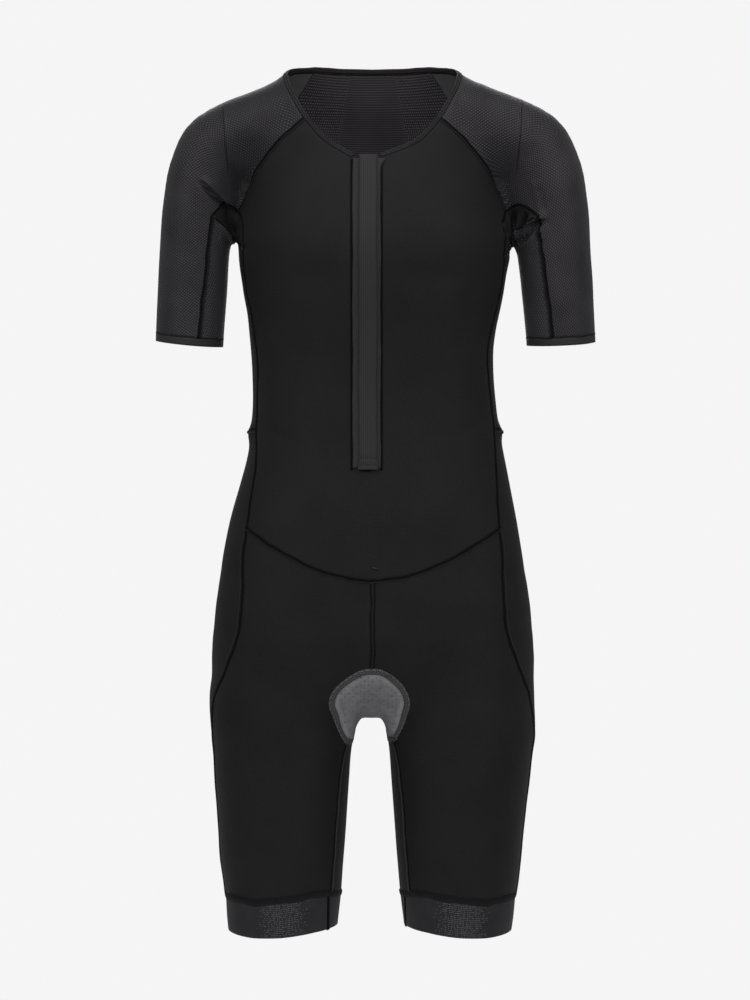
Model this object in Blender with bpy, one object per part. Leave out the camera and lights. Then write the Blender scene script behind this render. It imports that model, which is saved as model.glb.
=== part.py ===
"""Triathlon suit with short raglan sleeves and mid-thigh legs, turned inside out and filled out as if worn.

Every panel is a wall of cloth on one smooth form. The form is a trunk, two arms and two legs, each given by
a short table of sections. A seam is a few places seen from the front or the back, put down on the form, and a
panel is a grid between its seams. Left pieces are worked out first, and right ones are their mirror image.

Lengths are in millimetres here and become metres (MM) in the meshes. +Z is up and the front faces -Y.
The origin is at the middle of the neck, level with the shoulders that hold the suit.
"""
import math

import bmesh
import bpy
import numpy as np
from mathutils import Vector
from mathutils.bvhtree import BVHTree

MM = 0.001

# ---- driving dimensions ---------------------------------------------------------------------------------
KNIT = 1.5                  # wall of the smooth knit
MESH_KNIT = 1.2             # wall of the open knit of the sleeves and the back
SEAM_GAP = 0.6              # between two panels at their seam
SEAT = 0.4                  # between a panel and what is sewn on it
SEAT_REACH = 12.0           # how far out the cloth under a piece is looked for

NECK_BINDING = 5.0          # height of the binding round the neck
NECK_BINDING_THICK = 2.2
CUFF_BAND = 9.0             # height of the sleeve band
BAND_THICK = 1.8
LEG_SEAM_Z = -867.0         # the leg ends here and its gripper band starts
GRIPPER = 36.0              # height of the leg's gripper band

ZIP_X = -6.0                # middle line of the zip, a little to the wearer's right of the centre
ZIP_SLOT = 4.5              # half width of the slit that the zip closes
TAPE_HALF = 14.5            # half width of the zip with both its tapes
TAPE_THICK = 1.0
COIL_HALF, COIL_THICK = 2.6, 1.7
GUARD_HALF, GUARD_THICK = 9.4, 1.3
GUARD_X = -4.7              # middle line of the guard that covers the zip
ZIP_TOP_Z, ZIP_END_Z = -86.0, -413.0
SLIDER_HALF, SLIDER_DEEP, SLIDER_TALL = 3.8, 4.6, 12.0
PULL_HALF, PULL_THICK, PULL_LONG = 2.2, 1.2, 24.0

PAD_EDGE, PAD_MIDDLE = 2.4, 6.6       # thickness of the seat pad at its rim and in its middle
PAD_BORDER, PAD_BORDER_THICK = 5.5, 2.0

# ---- how finely each seam and panel is divided -----------------------------------------------------------
RAGLAN_STEPS, ARC_STEPS, UNDERSLEEVE_STEPS = 6, 5, 5
SIDE_STEPS, HIP_STEPS = 10, 3
CENTRE_FRONT_PARTS = (0, 0.25, 0.48, 0.68, 0.85, 1)                 # parts of the seam's way, finer near the crotch
CENTRE_BACK_PARTS = (0, 0.15, 0.3, 0.45, 0.58, 0.7, 0.8, 0.9, 1)
INSEAM_PARTS = (0, 0.05, 0.12, 0.22, 0.37, 0.53, 0.68, 0.84, 1)
THIGH_STEPS = len(CENTRE_FRONT_PARTS) + len(INSEAM_PARTS) - 2
FRONT_COLUMNS, BACK_COLUMNS, SIDE_COLUMNS = 6, 4, 8     # from a side seam to the zip, and to the back's middle
SLEEVE_COLUMNS = 12
ZIP_ROWS = 16
SLOT_ROW = 5                # the zip's slit starts at this row of the front, counted from the yoke seam
EVENING_ROUNDS = 9

# ---- the form --------------------------------------------------------------------------------------------
TRUNK = np.array([  # height, half width, front depth, back depth, squareness
    (40, 82, 40, 50, 2.0),
    (20, 86, 42, 55, 2.0),
    (0, 92, 47, 64, 2.0),
    (-37, 104, 62, 80, 2.1),
    (-76, 118, 80, 91, 2.2),
    (-123, 134, 97, 97, 2.3),
    (-177, 146, 108, 95, 2.3),
    (-219, 139, 105, 88, 2.3),
    (-262, 131, 97, 80, 2.2),
    (-301, 128, 92, 76, 2.2),
    (-337, 129, 90, 78, 2.2),
    (-376, 133, 91, 86, 2.2),
    (-423, 142, 94, 98, 2.2),
    (-476, 153, 97, 110, 2.3),
    (-530, 162, 98, 117, 2.3),
    (-583, 168, 97, 116, 2.3),
    (-637, 170, 92, 108, 2.3),
    (-690, 170, 90, 100, 2.3),
], float)
HIP_TURN_Z, CROTCH_Z = -585.0, -669.0     # the trunk rounds in from the first height and ends at the second

ARM = np.array([  # centre x, centre height, radius
    (-82, -38, 46),
    (-113, -47, 44),
    (-142, -56, 43),
    (-167, -68, 40.5),
    (-180, -91, 40.5),
    (-187.5, -128, 39),
    (-192.8, -177, 37.2),
    (-195.5, -230, 36.5),
    (-198, -276, 36),
    (-200, -320, 35),
], float)
ARM_Y, ARM_DEPTH = 4.0, 1.25              # the arm's middle, and its depth over its width
ARM_PARTS = 40

LEG = np.array([  # height, centre x, half width, half depth, centre y
    (-540, -86, 67, 80, 8),
    (-600, -91, 78, 88, 8),
    (-650, -94, 78, 88, 7),
    (-700, -95, 76, 84, 6),
    (-750, -95.5, 72, 79, 4),
    (-790, -95, 68.5, 75, 3),
    (-830, -95, 65.5, 71, 2),
    (-868, -93.5, 61, 66, 1),
    (-905, -93.5, 56.5, 61, 0),
    (-950, -93, 52, 57, 0),
], float)
LEG_SQUARENESS, LEG_TOP_Z = 2.15, -545.0
LEG_BLEND = 30.0                          # how softly the legs leave the trunk
ARM_BLEND = np.array([  # height, softness of the join of arm and trunk: tight under the arm, wide above it
    (-180, 5),
    (-172, 8),
    (-163, 24),
    (-140, 32),
    (-110, 40),
    (-60, 40),
    (-20, 26),
], float)

# ---- the left seams, each from its first end to its last -------------------------------------------------
NECK_FRONT = [(-72, -43), (-51, -68)]                                # seen from the front: x, height
GUARD_SIDE_Z, SLOT_TOP_Z = -87.0, -89.0                              # the neck's heights at the zip's sides
NECK_SIDE = [(-93, -20, 3), (-92, 6, 12), (-80, 34, 15.5)]           # x, y, height
NECK_BACK = [(-63, 17), (-33, 18), (0, 18)]                          # seen from the back: x, height
RAGLAN_FRONT = [(-72, -43), (-106, -74), (-126, -100), (-139, -126), (-144, -138)]
RAGLAN_BACK = [(-63, 17), (-98, -35), (-124, -85), (-139, -122), (-144, -138)]
ARC = [(-144, -138), (-157, -129.5), (-175, -143)]                   # the same seen from the front and the back
ARMPIT_X, ARMPIT_LOW_Z = -150.0, -200.0                              # the gap between arm and side, below the armpit
UNDERSLEEVE = [(-175, -143), (-177, -166), (-181, -210), (-187, -271)]
CUFF_INNER = (-160, 4, -272)
SLEEVE_CREST = [(-92, 6, 12), (-120, 6, -2), (-150, 5, -14), (-180, 4, -28), (-205, 4, -52), (-219, 4, -80),
                (-226, 4, -119), (-230, 4, -165), (-232, 4, -215), (-233, 4, -265)]  # over the shoulder, down the arm
SLEEVE_CENTRE = [(-78, 4, -36), (-105, 4, -44), (-135, 4, -54), (-160, 4, -68), (-175, 4, -92), (-184, 4, -128),
                 (-190, 4, -177), (-195, 4, -230), (-197, 4, -269)]                  # inside it
SIDE_FRONT = [(-144, -138), (-138, -165), (-137, -205), (-125, -260), (-120, -295), (-123, -338), (-125, -369)]
SIDE_BACK = [(-144, -138), (-133, -170), (-122, -210), (-108, -260), (-101, -300), (-100, -340), (-102, -369)]
WAIST_SIDE = (-134, 6, -369)                                         # where the waist seam crosses the side
WAIST_BACK = [(-102, -369), (-55, -374), (0, -376)]
HIP = [(-125, -369), (-126, -410), (-127.5, -440), (-130, -474)]
YOKE = [(-130, -474), (-82, -505), (-42, -523), (0, -529)]
THIGH_FRONT = [(-130, -474), (-134.5, -508), (-136.5, -539), (-140.5, -570), (-149, -603), (-158, -634), (-167, -662)]
THIGH_SIDE = [(-171, -20, -690), (-170, -10, -730), (-165, -6, -790), (-157, -5, LEG_SEAM_Z)]
CENTRE_FRONT = [(0, -98, -529), (0, -97, -580), (0, -84, -625), (0, -58, -657), (0, -28, -668), (0, 2, CROTCH_Z)]
CENTRE_BACK = [(0, 85, -376), (0, 110, -470), (0, 117, -550), (0, 105, -610), (0, 72, -655), (0, 36, -668),
               (0, 2, CROTCH_Z)]
INSEAM = [(0, 2, CROTCH_Z), (-14, -14, -676), (-24, -30, -694), (-31, -42, -740), (-36, -42, -800),
          (-40, -41, LEG_SEAM_Z)]
LEG_AXIS = (-95.0, 4.0)                                              # x, y of the line that leg panels turn round

PAD_LINE = [(0, -86, -620), (0, -66, -652), (0, -32, -668), (0, 4, CROTCH_Z), (0, 40, -668), (0, 78, -650),
            (0, 102, -618), (0, 112, -580)]                          # the pad's middle, front to back
PAD_WIDTH = np.array([  # part of the way along the pad's middle, half width
    (0.00, 8),
    (0.06, 27),
    (0.16, 42),
    (0.27, 41),
    (0.40, 35),
    (0.55, 41),
    (0.75, 60),
    (0.90, 60),
    (1.00, 36),
], float)
PAD_ROWS, PAD_COLUMNS = 12, 8

COLOURS = {  # base colour, roughness, metallic
    "smooth_knit": ((0.013, 0.013, 0.014), 0.85, 0.0),
    "mesh_knit": ((0.022, 0.021, 0.023), 0.8, 0.0),
    "band_knit": ((0.024, 0.023, 0.025), 0.75, 0.0),
    "pad_foam": ((0.09, 0.09, 0.097), 0.9, 0.0),
    "zip_nylon": ((0.015, 0.015, 0.016), 0.5, 0.0),
    "zip_metal": ((0.05, 0.05, 0.055), 0.4, 0.9),
}


# ---- tables and curves -----------------------------------------------------------------------------------
def read_table(table, places):
    """The smooth values of a table at these places. Its first column is the place, rising or falling."""
    rows = table if table[0, 0] < table[-1, 0] else table[::-1]
    knots, values = rows[:, 0], rows[:, 1:]
    slopes = np.gradient(values, knots, axis=0)
    places = np.clip(places, knots[0], knots[-1])
    at = np.clip(np.searchsorted(knots, places, side="right") - 1, 0, len(knots) - 2)
    span = knots[at + 1] - knots[at]
    t = ((places - knots[at]) / span)[:, None]
    span = span[:, None]
    return ((2 * t**3 - 3 * t**2 + 1) * values[at] + (t**3 - 2 * t**2 + t) * span * slopes[at]
            + (3 * t**2 - 2 * t**3) * values[at + 1] + (t**3 - t**2) * span * slopes[at + 1])


def way_along(points):
    """How far each point lies along the line through them."""
    return np.concatenate([[0.0], np.cumsum(np.linalg.norm(np.diff(points, axis=0), axis=1))])


def smooth_curve(points, steps, stops=()):
    """A smooth curve through the points, in even steps or at the given parts of its way.

    With stops, which are places in the list of points, it is one curve for each stretch between them.
    """
    points = np.asarray(points, float)
    place = way_along(points)
    table = np.column_stack([place, points])
    fine = np.linspace(0, place[-1], 400)
    line = read_table(table, fine)
    length = way_along(line)
    cuts = [0, *stops, len(points) - 1]
    steps = steps if stops else [steps]
    pieces = []
    for first, last, parts in zip(cuts, cuts[1:], steps):
        parts = np.linspace(0, 1, parts + 1) if isinstance(parts, int) else np.asarray(parts)
        start, end = np.interp(place[[first, last]], fine, length)
        places = np.interp(start + parts * (end - start), length, fine)
        pieces.append(read_table(table, places))
    return pieces if stops else pieces[0]


# ---- the form's own functions ----------------------------------------------------------------------------
def soft_union(one, other, softness):
    share = np.clip(0.5 + 0.5 * (other - one) / softness, 0, 1)
    return other + (one - other) * share - softness * share * (1 - share)


def oval_distance(across, along, half_width, half_depth, squareness):
    """Distance outside (or, negative, inside) a squarish oval, measured on the line from its middle."""
    size = ((np.abs(across) / half_width)**squareness + (np.abs(along) / half_depth)**squareness)
    size = size**(1 / squareness) + 1e-9
    return np.hypot(across, along) * (1 - 1 / size)


def trunk_distance(p):
    half_width, front, back, squareness = read_table(TRUNK, p[:, 2]).T
    depth = np.where(p[:, 1] < 0, front, back)
    size = ((np.abs(p[:, 0]) / half_width)**squareness + (np.abs(p[:, 1]) / depth)**squareness)**(1 / squareness)
    drop = np.maximum(HIP_TURN_Z - p[:, 2], 0)
    size = np.hypot(size, drop / (HIP_TURN_Z - CROTCH_Z)) + 1e-9
    return np.sqrt(p[:, 0]**2 + p[:, 1]**2 + drop**2) * (1 - 1 / size)


def arm_distance(p):
    flat = np.column_stack([p[:, 0], (p[:, 1] - ARM_Y) / ARM_DEPTH, p[:, 2]])
    nearest = np.full(len(p), 1e9)
    for (x0, z0, r0), (x1, z1, r1) in zip(ARM_AXIS, ARM_AXIS[1:]):
        start, run = np.array([x0, 0, z0]), np.array([x1 - x0, 0, z1 - z0])
        t = np.clip((flat - start) @ run / (run @ run), 0, 1)
        gap = np.linalg.norm(flat - start - t[:, None] * run, axis=1) - (r0 + t * (r1 - r0))
        nearest = np.minimum(nearest, gap)
    return nearest


def leg_distance(p):
    centre_x, half_width, half_depth, centre_y = read_table(LEG, p[:, 2]).T
    leg = oval_distance(p[:, 0] - centre_x, p[:, 1] - centre_y, half_width, half_depth, LEG_SQUARENESS)
    return np.maximum(leg, p[:, 2] - LEG_TOP_Z)


def form(p):
    """Distance from the form's surface, negative inside it."""
    left = np.column_stack([-np.abs(p[:, 0]), p[:, 1], p[:, 2]])
    body = soft_union(trunk_distance(left), leg_distance(left), LEG_BLEND)
    return soft_union(body, arm_distance(left), np.interp(left[:, 2], *ARM_BLEND.T))


def slope(p):
    step = 0.05
    return np.column_stack([(form(p + shift) - form(p - shift)) / (2 * step) for shift in np.eye(3) * step])


def outward(p):
    direction = slope(p)
    return direction / np.linalg.norm(direction, axis=1)[:, None]


def put_on_form(points, rounds=14):
    """Each point moved to the nearest place of the form's surface."""
    shape = np.shape(points)
    p = np.array(points, float).reshape(-1, 3)
    for _ in range(rounds):
        grade = slope(p)
        move = (form(p) / (grade**2).sum(1))[:, None] * grade
        length = np.linalg.norm(move, axis=1)[:, None]
        p -= move * np.minimum(1, 12 / np.maximum(length, 1e-9))
    return p.reshape(shape)


def cast(starts, directions, reach=260.0, facing_in=False):
    """The place where each line from inside the form first leaves it, or facing in, first enters it."""
    sign = -1 if facing_in else 1
    steps = np.arange(0, reach, 3.0)
    value = np.array([sign * form(starts + directions * s) for s in steps])
    out = np.argmax(value > 0, axis=0)
    low, high = steps[np.maximum(out - 1, 0)], steps[out]
    for _ in range(16):
        middle = (low + high) / 2
        inside = sign * form(starts + directions * middle[:, None]) < 0
        low, high = np.where(inside, middle, low), np.where(inside, high, middle)
    return starts + directions * low[:, None]


def seen(points, facing):
    """Places given by x and height, put on the form's front (facing -1) or back (facing 1)."""
    points = np.asarray(points, float)
    starts = np.column_stack([points[:, 0], np.zeros(len(points)), points[:, 1]])
    starts[:, 1] = ARM_Y
    return cast(starts, np.tile([0.0, facing, 0.0], (len(points), 1)))


def front(points):
    return seen(points, -1)


def back(points):
    return seen(points, 1)


def seam(points, steps, stops=()):
    curves = smooth_curve(points, steps, stops)
    return [put_on_form(c) for c in curves] if stops else put_on_form(curves)


def armpit(y):
    """The place where the form closes over the gap between arm and side, this far front to back."""
    return cast(np.array([(ARMPIT_X, y, ARMPIT_LOW_Z)]), np.array([(0.0, 0.0, 1.0)]), facing_in=True)[0]


def fan(centre, places, columns):
    """A row of even turns round a centre, from the first place past the middle ones to the last."""
    centre = np.asarray(centre, float)
    rays = np.asarray(places, float) - centre
    rays /= np.linalg.norm(rays, axis=1)[:, None]
    turns = np.arccos(np.clip((rays[1:] * rays[:-1]).sum(1), -1, 1))
    total = np.concatenate([[0], np.cumsum(turns)])
    directions = []
    for turn in np.linspace(0, total[-1], columns + 1):
        k = min(np.searchsorted(total, turn, side="right") - 1, len(turns) - 1)
        t = turn - total[k]
        directions.append((rays[k] * math.sin(turns[k] - t) + rays[k + 1] * math.sin(t)) / math.sin(turns[k]))
    row = cast(np.tile(centre, (columns + 1, 1)), np.array(directions))
    row[0], row[-1] = places[0], places[-1]
    return row


def patch(side_a, side_b, start_row, end_row, rows=None):
    """A grid between four seams. The rows run from side A to side B, straight unless others are given.

    The points inside it are then evened out, each drawn to the middle of its neighbours on the form.
    """
    steps = np.linspace(0, 1, len(start_row))[None, :, None]
    if rows is None:
        rows = side_a[:, None] * (1 - steps) + side_b[:, None] * steps
    rows = np.array(rows)
    share = np.linspace(0, 1, len(rows))[:, None, None]
    rows = rows + (1 - share) * (start_row - rows[0]) + share * (end_row - rows[-1])
    grid = put_on_form(rows)
    grid[:, 0], grid[:, -1], grid[0], grid[-1] = side_a, side_b, start_row, end_row
    for _ in range(EVENING_ROUNDS):
        neighbours = grid[:-2, 1:-1] + grid[2:, 1:-1] + grid[1:-1, :-2] + grid[1:-1, 2:]
        grid[1:-1, 1:-1] = put_on_form(neighbours / 4, 3)
    grid[1:-1, 1:-1] = put_on_form(grid[1:-1, 1:-1])
    return grid


def joined(*curves):
    """Curves end to end as one."""
    return np.vstack([curves[0], *[curve[1:] for curve in curves[1:]]])


def trimmed(grid, rows=True, columns=True):
    """The grid with its edges drawn in by half a seam gap."""
    grid = grid.copy()
    half = SEAM_GAP / 2

    def draw_in(edge, inner):
        away = inner - edge
        return edge + half * away / np.linalg.norm(away, axis=-1, keepdims=True)

    if rows:
        grid[0], grid[-1] = draw_in(grid[0], grid[1]), draw_in(grid[-1], grid[-2])
    if columns:
        grid[:, 0], grid[:, -1] = draw_in(grid[:, 0], grid[:, 1]), draw_in(grid[:, -1], grid[:, -2])
    return grid


# ---- meshes and objects ----------------------------------------------------------------------------------
def make_material(name):
    colour, roughness, metallic = COLOURS[name]
    material = bpy.data.materials.new(name)
    material.use_nodes = True
    shader = material.node_tree.nodes["Principled BSDF"]
    shader.inputs["Base Color"].default_value = (*colour, 1.0)
    shader.inputs["Roughness"].default_value = roughness
    shader.inputs["Metallic"].default_value = metallic
    return material


def place_object(name, bm, material):
    bmesh.ops.recalc_face_normals(bm, faces=bm.faces)
    mesh = bpy.data.meshes.new(name)
    bm.to_mesh(mesh)
    bm.free()
    mesh.shade_smooth()
    mesh.set_sharp_from_angle(angle=math.radians(40))
    obj = bpy.data.objects.new(name, mesh)
    obj.data.materials.append(MATERIALS[material])
    SUIT.objects.link(obj)
    return obj


def wall(name, grid, material, thickness, lift=None, cut=()):
    """A closed wall on a grid of the form's surface.

    thickness and lift are one number, or one for each point of the grid. lift is how high the underside is above
    the form: a panel's outer skin is the form itself. cut names the (row, column) cells that stay open.
    """
    rows, columns = grid.shape[0] - 1, grid.shape[1] - 1
    normals = outward(grid.reshape(-1, 3)).reshape(grid.shape)
    thickness = np.broadcast_to(thickness, grid.shape[:2])[..., None]
    lift = -thickness if lift is None else np.broadcast_to(lift, grid.shape[:2])[..., None]
    under = grid + normals * lift
    top = under + normals * thickness
    bm = bmesh.new()
    at_row, at_column = bm.verts.layers.int.new("row"), bm.verts.layers.int.new("column")
    bmesh.ops.create_grid(bm, x_segments=columns, y_segments=rows, size=1)
    for vert in bm.verts:
        vert[at_row] = round((vert.co.y + 1) / 2 * rows)
        vert[at_column] = round((vert.co.x + 1) / 2 * columns)
    open_cells = [face for face in bm.faces
                  if (min(v[at_row] for v in face.verts), min(v[at_column] for v in face.verts)) in cut]
    bmesh.ops.delete(bm, geom=open_cells, context="FACES")
    for vert in bm.verts:
        vert.co = top[vert[at_row], vert[at_column]] * MM
    bmesh.ops.remove_doubles(bm, verts=bm.verts, dist=0.01 * MM)
    extruded = bmesh.ops.extrude_face_region(bm, geom=bm.faces[:])
    for vert in (v for v in extruded["geom"] if isinstance(v, bmesh.types.BMVert)):
        vert.co = under[vert[at_row], vert[at_column]] * MM
    bmesh.ops.triangulate(bm, faces=bm.faces, quad_method="SHORT_EDGE")
    return place_object(name, bm, material)


def seat_on(grid, *names):
    """How high above the form each point of the grid goes so that its cells clear the cloth under them."""
    trees = []
    for name in names:
        mesh = bpy.data.objects[name].data
        mesh.calc_loop_triangles()
        faces = [triangle.vertices for triangle in mesh.loop_triangles]
        trees.append(BVHTree.FromPolygons([v.co / MM for v in mesh.vertices], faces))
    normals = outward(grid.reshape(-1, 3)).reshape(grid.shape)
    shares = [(a / 4, b / 4, 1 - a / 4 - b / 4) for a in range(5) for b in range(5 - a)]
    height = np.zeros(grid.shape[:2])
    for row in range(grid.shape[0] - 1):
        for column in range(grid.shape[1] - 1):
            cell = np.s_[row:row + 2, column:column + 2]
            corners, ways = grid[cell].reshape(4, 3), normals[cell].reshape(4, 3)
            for triangle in ((0, 1, 3), (0, 3, 2), (0, 1, 2), (1, 3, 2)):      # both ways to split the cell
                for share in shares:
                    place = share @ corners[list(triangle)]
                    way = share @ ways[list(triangle)]
                    for tree in trees:
                        hit = tree.ray_cast(Vector(place + way * SEAT_REACH), Vector(-way), 2 * SEAT_REACH)
                        if hit[0] is not None:
                            height[cell] = np.maximum(height[cell], SEAT_REACH - hit[3])
    return height + SEAT


def both_sides(name, grid, *args, **options):
    """The left piece and its mirror image."""
    wall(f"{name}_left", grid, *args, **options)
    wall(f"{name}_right", mirrored(grid), *args, **options)


def mirrored(grid):
    return grid[:, ::-1] * (-1, 1, 1)


# ---- the seams -------------------------------------------------------------------------------------------
def sew_lines():
    """Every left seam as points on the form, shared by the panels on its two sides."""
    sides_of_neck = [*front(NECK_FRONT[::-1]), *put_on_form(NECK_SIDE), *back(NECK_BACK)]
    neck_front_end = len(NECK_FRONT) - 1
    neck_side_end = neck_front_end + len(NECK_SIDE) + 1
    _, neck_side, neck_back = seam(sides_of_neck, (1, SLEEVE_COLUMNS, BACK_COLUMNS), (neck_front_end, neck_side_end))
    lines = {
        "neck_side": neck_side,
        "neck_back": neck_back,
        "raglan_front": seam(front(RAGLAN_FRONT), RAGLAN_STEPS),
        "raglan_back": seam(back(RAGLAN_BACK), RAGLAN_STEPS),
        "arc_front": seam(front(ARC), ARC_STEPS),
        "arc_back": seam(back(ARC), ARC_STEPS),
        "undersleeve_front": seam(front(UNDERSLEEVE), UNDERSLEEVE_STEPS),
        "undersleeve_back": seam(back(UNDERSLEEVE), UNDERSLEEVE_STEPS),
        "side_front": seam(front(SIDE_FRONT), SIDE_STEPS),
        "side_back": seam(back(SIDE_BACK), SIDE_STEPS),
        "waist_back": seam(back(WAIST_BACK), BACK_COLUMNS),
        "hip": seam(front(HIP), HIP_STEPS),
        "yoke": seam(front(YOKE), FRONT_COLUMNS + 1),
        "thigh": seam([*front(THIGH_FRONT), *put_on_form(THIGH_SIDE)], THIGH_STEPS),
        "centre_front": seam(CENTRE_FRONT, CENTRE_FRONT_PARTS),
        "centre_back": seam(CENTRE_BACK, CENTRE_BACK_PARTS),
        "inseam": seam(INSEAM, INSEAM_PARTS),
    }
    lines["armhole"] = seam([lines["arc_front"][-1], armpit(ARM_Y), lines["arc_back"][-1]], SIDE_COLUMNS)
    lines["waist_side"] = seam([lines["side_front"][-1], WAIST_SIDE, lines["side_back"][-1]], SIDE_COLUMNS)
    meet_at_ends(lines)
    return lines


def meet_at_ends(lines):
    """Seams that meet share their end point, and those on the suit's middle have x = 0."""
    for name in ("centre_front", "centre_back"):
        lines[name][:, 0] = 0
    for name in ("neck_back", "waist_back", "yoke"):
        lines[name][-1, 0] = 0
    meetings = [("neck_side", 0, "raglan_front", 0), ("neck_side", -1, "raglan_back", 0),
                ("neck_back", 0, "raglan_back", 0), ("raglan_front", -1, "side_front", 0),
                ("raglan_back", -1, "side_back", 0), ("arc_front", 0, "side_front", 0),
                ("arc_back", 0, "side_back", 0), ("armhole", 0, "arc_front", -1), ("armhole", -1, "arc_back", -1),
                ("undersleeve_front", 0, "arc_front", -1), ("undersleeve_back", 0, "arc_back", -1),
                ("waist_side", 0, "side_front", -1), ("waist_side", -1, "side_back", -1),
                ("waist_back", 0, "side_back", -1), ("centre_back", 0, "waist_back", -1),
                ("hip", 0, "side_front", -1), ("yoke", 0, "hip", -1), ("thigh", 0, "hip", -1),
                ("centre_front", 0, "yoke", -1), ("centre_back", -1, "centre_front", -1),
                ("inseam", 0, "centre_front", -1)]
    for name, end, other, other_end in meetings:
        lines[name][end] = lines[other][other_end]


# ---- the panels ------------------------------------------------------------------------------------------
def neck_to_zip(lines, zip_x):
    """The front neck from the raglan seam to the zip's slit, with the zip's middle at zip_x."""
    guard_side = front([(zip_x - TAPE_HALF - 1.0, GUARD_SIDE_Z)])
    line = seam([lines["raglan_front"][0], *front(NECK_FRONT[1:]), *guard_side], FRONT_COLUMNS - 1)
    line[0] = lines["raglan_front"][0]
    return np.vstack([line, front([(zip_x - ZIP_SLOT, SLOT_TOP_Z)])])


def front_half(lines, zip_x):
    """The left half of the front up to the slit, with the zip's middle at zip_x."""
    side = joined(lines["hip"][::-1], lines["side_front"][::-1], lines["raglan_front"][::-1])
    neck = neck_to_zip(lines, zip_x)
    foot = lines["yoke"][-2]
    straight = front([(zip_x - ZIP_SLOT, height) for height in (-440, -420, -340, -250)])
    slit = seam([foot, *straight, neck[-1]], len(side) - 1)
    slit[0], slit[-1] = foot, neck[-1]
    return patch(side, slit, lines["yoke"][:-1], neck)


def build_front(lines):
    left, right = front_half(lines, ZIP_X), mirrored(front_half(lines, -ZIP_X))
    middle = put_on_form((left[:, -1:] + right[:, :1]) / 2)
    middle[0, 0] = lines["yoke"][-1]
    grid = trimmed(np.hstack([left, middle, right]))
    slit = {(row, column) for row in range(SLOT_ROW, len(grid)) for column in (FRONT_COLUMNS, FRONT_COLUMNS + 1)}
    wall("front_panel", grid, "smooth_knit", KNIT, cut=slit)


def build_back(lines):
    side = joined(lines["side_back"][::-1], lines["raglan_back"][::-1])
    middle = seam([lines["waist_back"][-1], *back([(0, -300), (0, -180), (0, -60)]), lines["neck_back"][-1]],
                  len(side) - 1)
    middle[:, 0] = 0
    half = patch(side, middle, lines["waist_back"], lines["neck_back"])
    wall("back_panel", trimmed(np.hstack([half, mirrored(half)[:, 1:]])), "mesh_knit", MESH_KNIT)


def build_sides(lines):
    front_edge = joined(lines["side_front"][::-1], lines["arc_front"])
    back_edge = joined(lines["side_back"][::-1], lines["arc_back"])
    low = armpit(ARM_Y)
    flank = seam([WAIST_SIDE, (-126, 6, -300), (-137, 5, -225), low], len(front_edge) - 1)
    fold = [armpit(y) for y in np.linspace(ARM_Y - 24, ARM_Y + 24, 9)]
    fold = smooth_curve(fold, 2 * ARC_STEPS)                           # the last rows cross the armpit's fold in turn
    rows = [smooth_curve(places, SIDE_COLUMNS) for places in zip(front_edge, flank, back_edge)]
    quarter = SIDE_COLUMNS // 4
    for step in range(1, ARC_STEPS):
        row = SIDE_STEPS + step
        places = [front_edge[row], fold[step], flank[row], fold[-1 - step], back_edge[row]]
        rows[row] = joined(*smooth_curve(places, [quarter] * 4, (1, 2, 3)))
    grid = patch(front_edge, back_edge, lines["waist_side"], lines["armhole"], rows)
    both_sides("side_panel", trimmed(grid), "smooth_knit", KNIT)


def build_sleeves(lines):
    """The sleeve, the strip under it and the band at its end."""
    front_edge = joined(lines["raglan_front"], lines["arc_front"], lines["undersleeve_front"])
    back_edge = joined(lines["raglan_back"], lines["arc_back"], lines["undersleeve_back"])
    crest = seam(SLEEVE_CREST, len(front_edge) - 1)
    centres = smooth_curve(SLEEVE_CENTRE, len(front_edge) - 1)
    rows = [fan(c, places, SLEEVE_COLUMNS) for c, *places in zip(centres, front_edge, crest, back_edge)]
    sleeve = patch(front_edge, back_edge, lines["neck_side"], rows[-1], rows)
    both_sides("sleeve", trimmed(sleeve), "mesh_knit", MESH_KNIT)

    under_edge = fan(centres[-1], [front_edge[-1], *put_on_form([CUFF_INNER]), back_edge[-1]], SIDE_COLUMNS)
    under = patch(lines["undersleeve_front"], lines["undersleeve_back"], lines["armhole"], under_edge)
    both_sides("undersleeve", trimmed(under), "mesh_knit", MESH_KNIT)

    build_band("sleeve_band", joined(sleeve[-1], under_edge[::-1]), CUFF_BAND, 1)


def build_legs(lines):
    """The front and the back of the leg and the gripper band at its end."""
    outer, inner = lines["thigh"], joined(lines["centre_front"], lines["inseam"])
    rows = []
    for a, b in zip(outer, inner):
        centre = (*LEG_AXIS, (a[2] + b[2]) / 2)
        rows.append(fan(centre, [a, *towards(centre, (0, -1)), b], FRONT_COLUMNS + 1))
    front_leg = patch(outer, inner, lines["yoke"], rows[-1], rows)
    both_sides("front_leg", trimmed(front_leg), "smooth_knit", KNIT)

    outer, inner = joined(lines["hip"], outer), joined(lines["centre_back"], lines["inseam"])
    rows = []
    for number, (a, b) in enumerate(zip(outer, inner)):
        centre = (*LEG_AXIS, (a[2] + b[2]) / 2)
        turns = [(-1, 0), (0, 1)] + [(1, 0)] * (number >= len(CENTRE_BACK_PARTS))
        rows.append(fan(centre, [a, *towards(centre, *turns), b], SIDE_COLUMNS + BACK_COLUMNS))
    waist = joined(lines["waist_side"], lines["waist_back"])
    back_leg = patch(outer, inner, waist, rows[-1], rows)
    both_sides("back_leg", trimmed(back_leg), "smooth_knit", KNIT)

    build_band("leg_gripper", joined(front_leg[-1], back_leg[-1][::-1]), GRIPPER, 3)


def towards(centre, *turns):
    """Places level with a centre and beside it, each way."""
    return np.asarray(centre, float) + [(x, y, 0.0) for x, y in turns]


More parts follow.
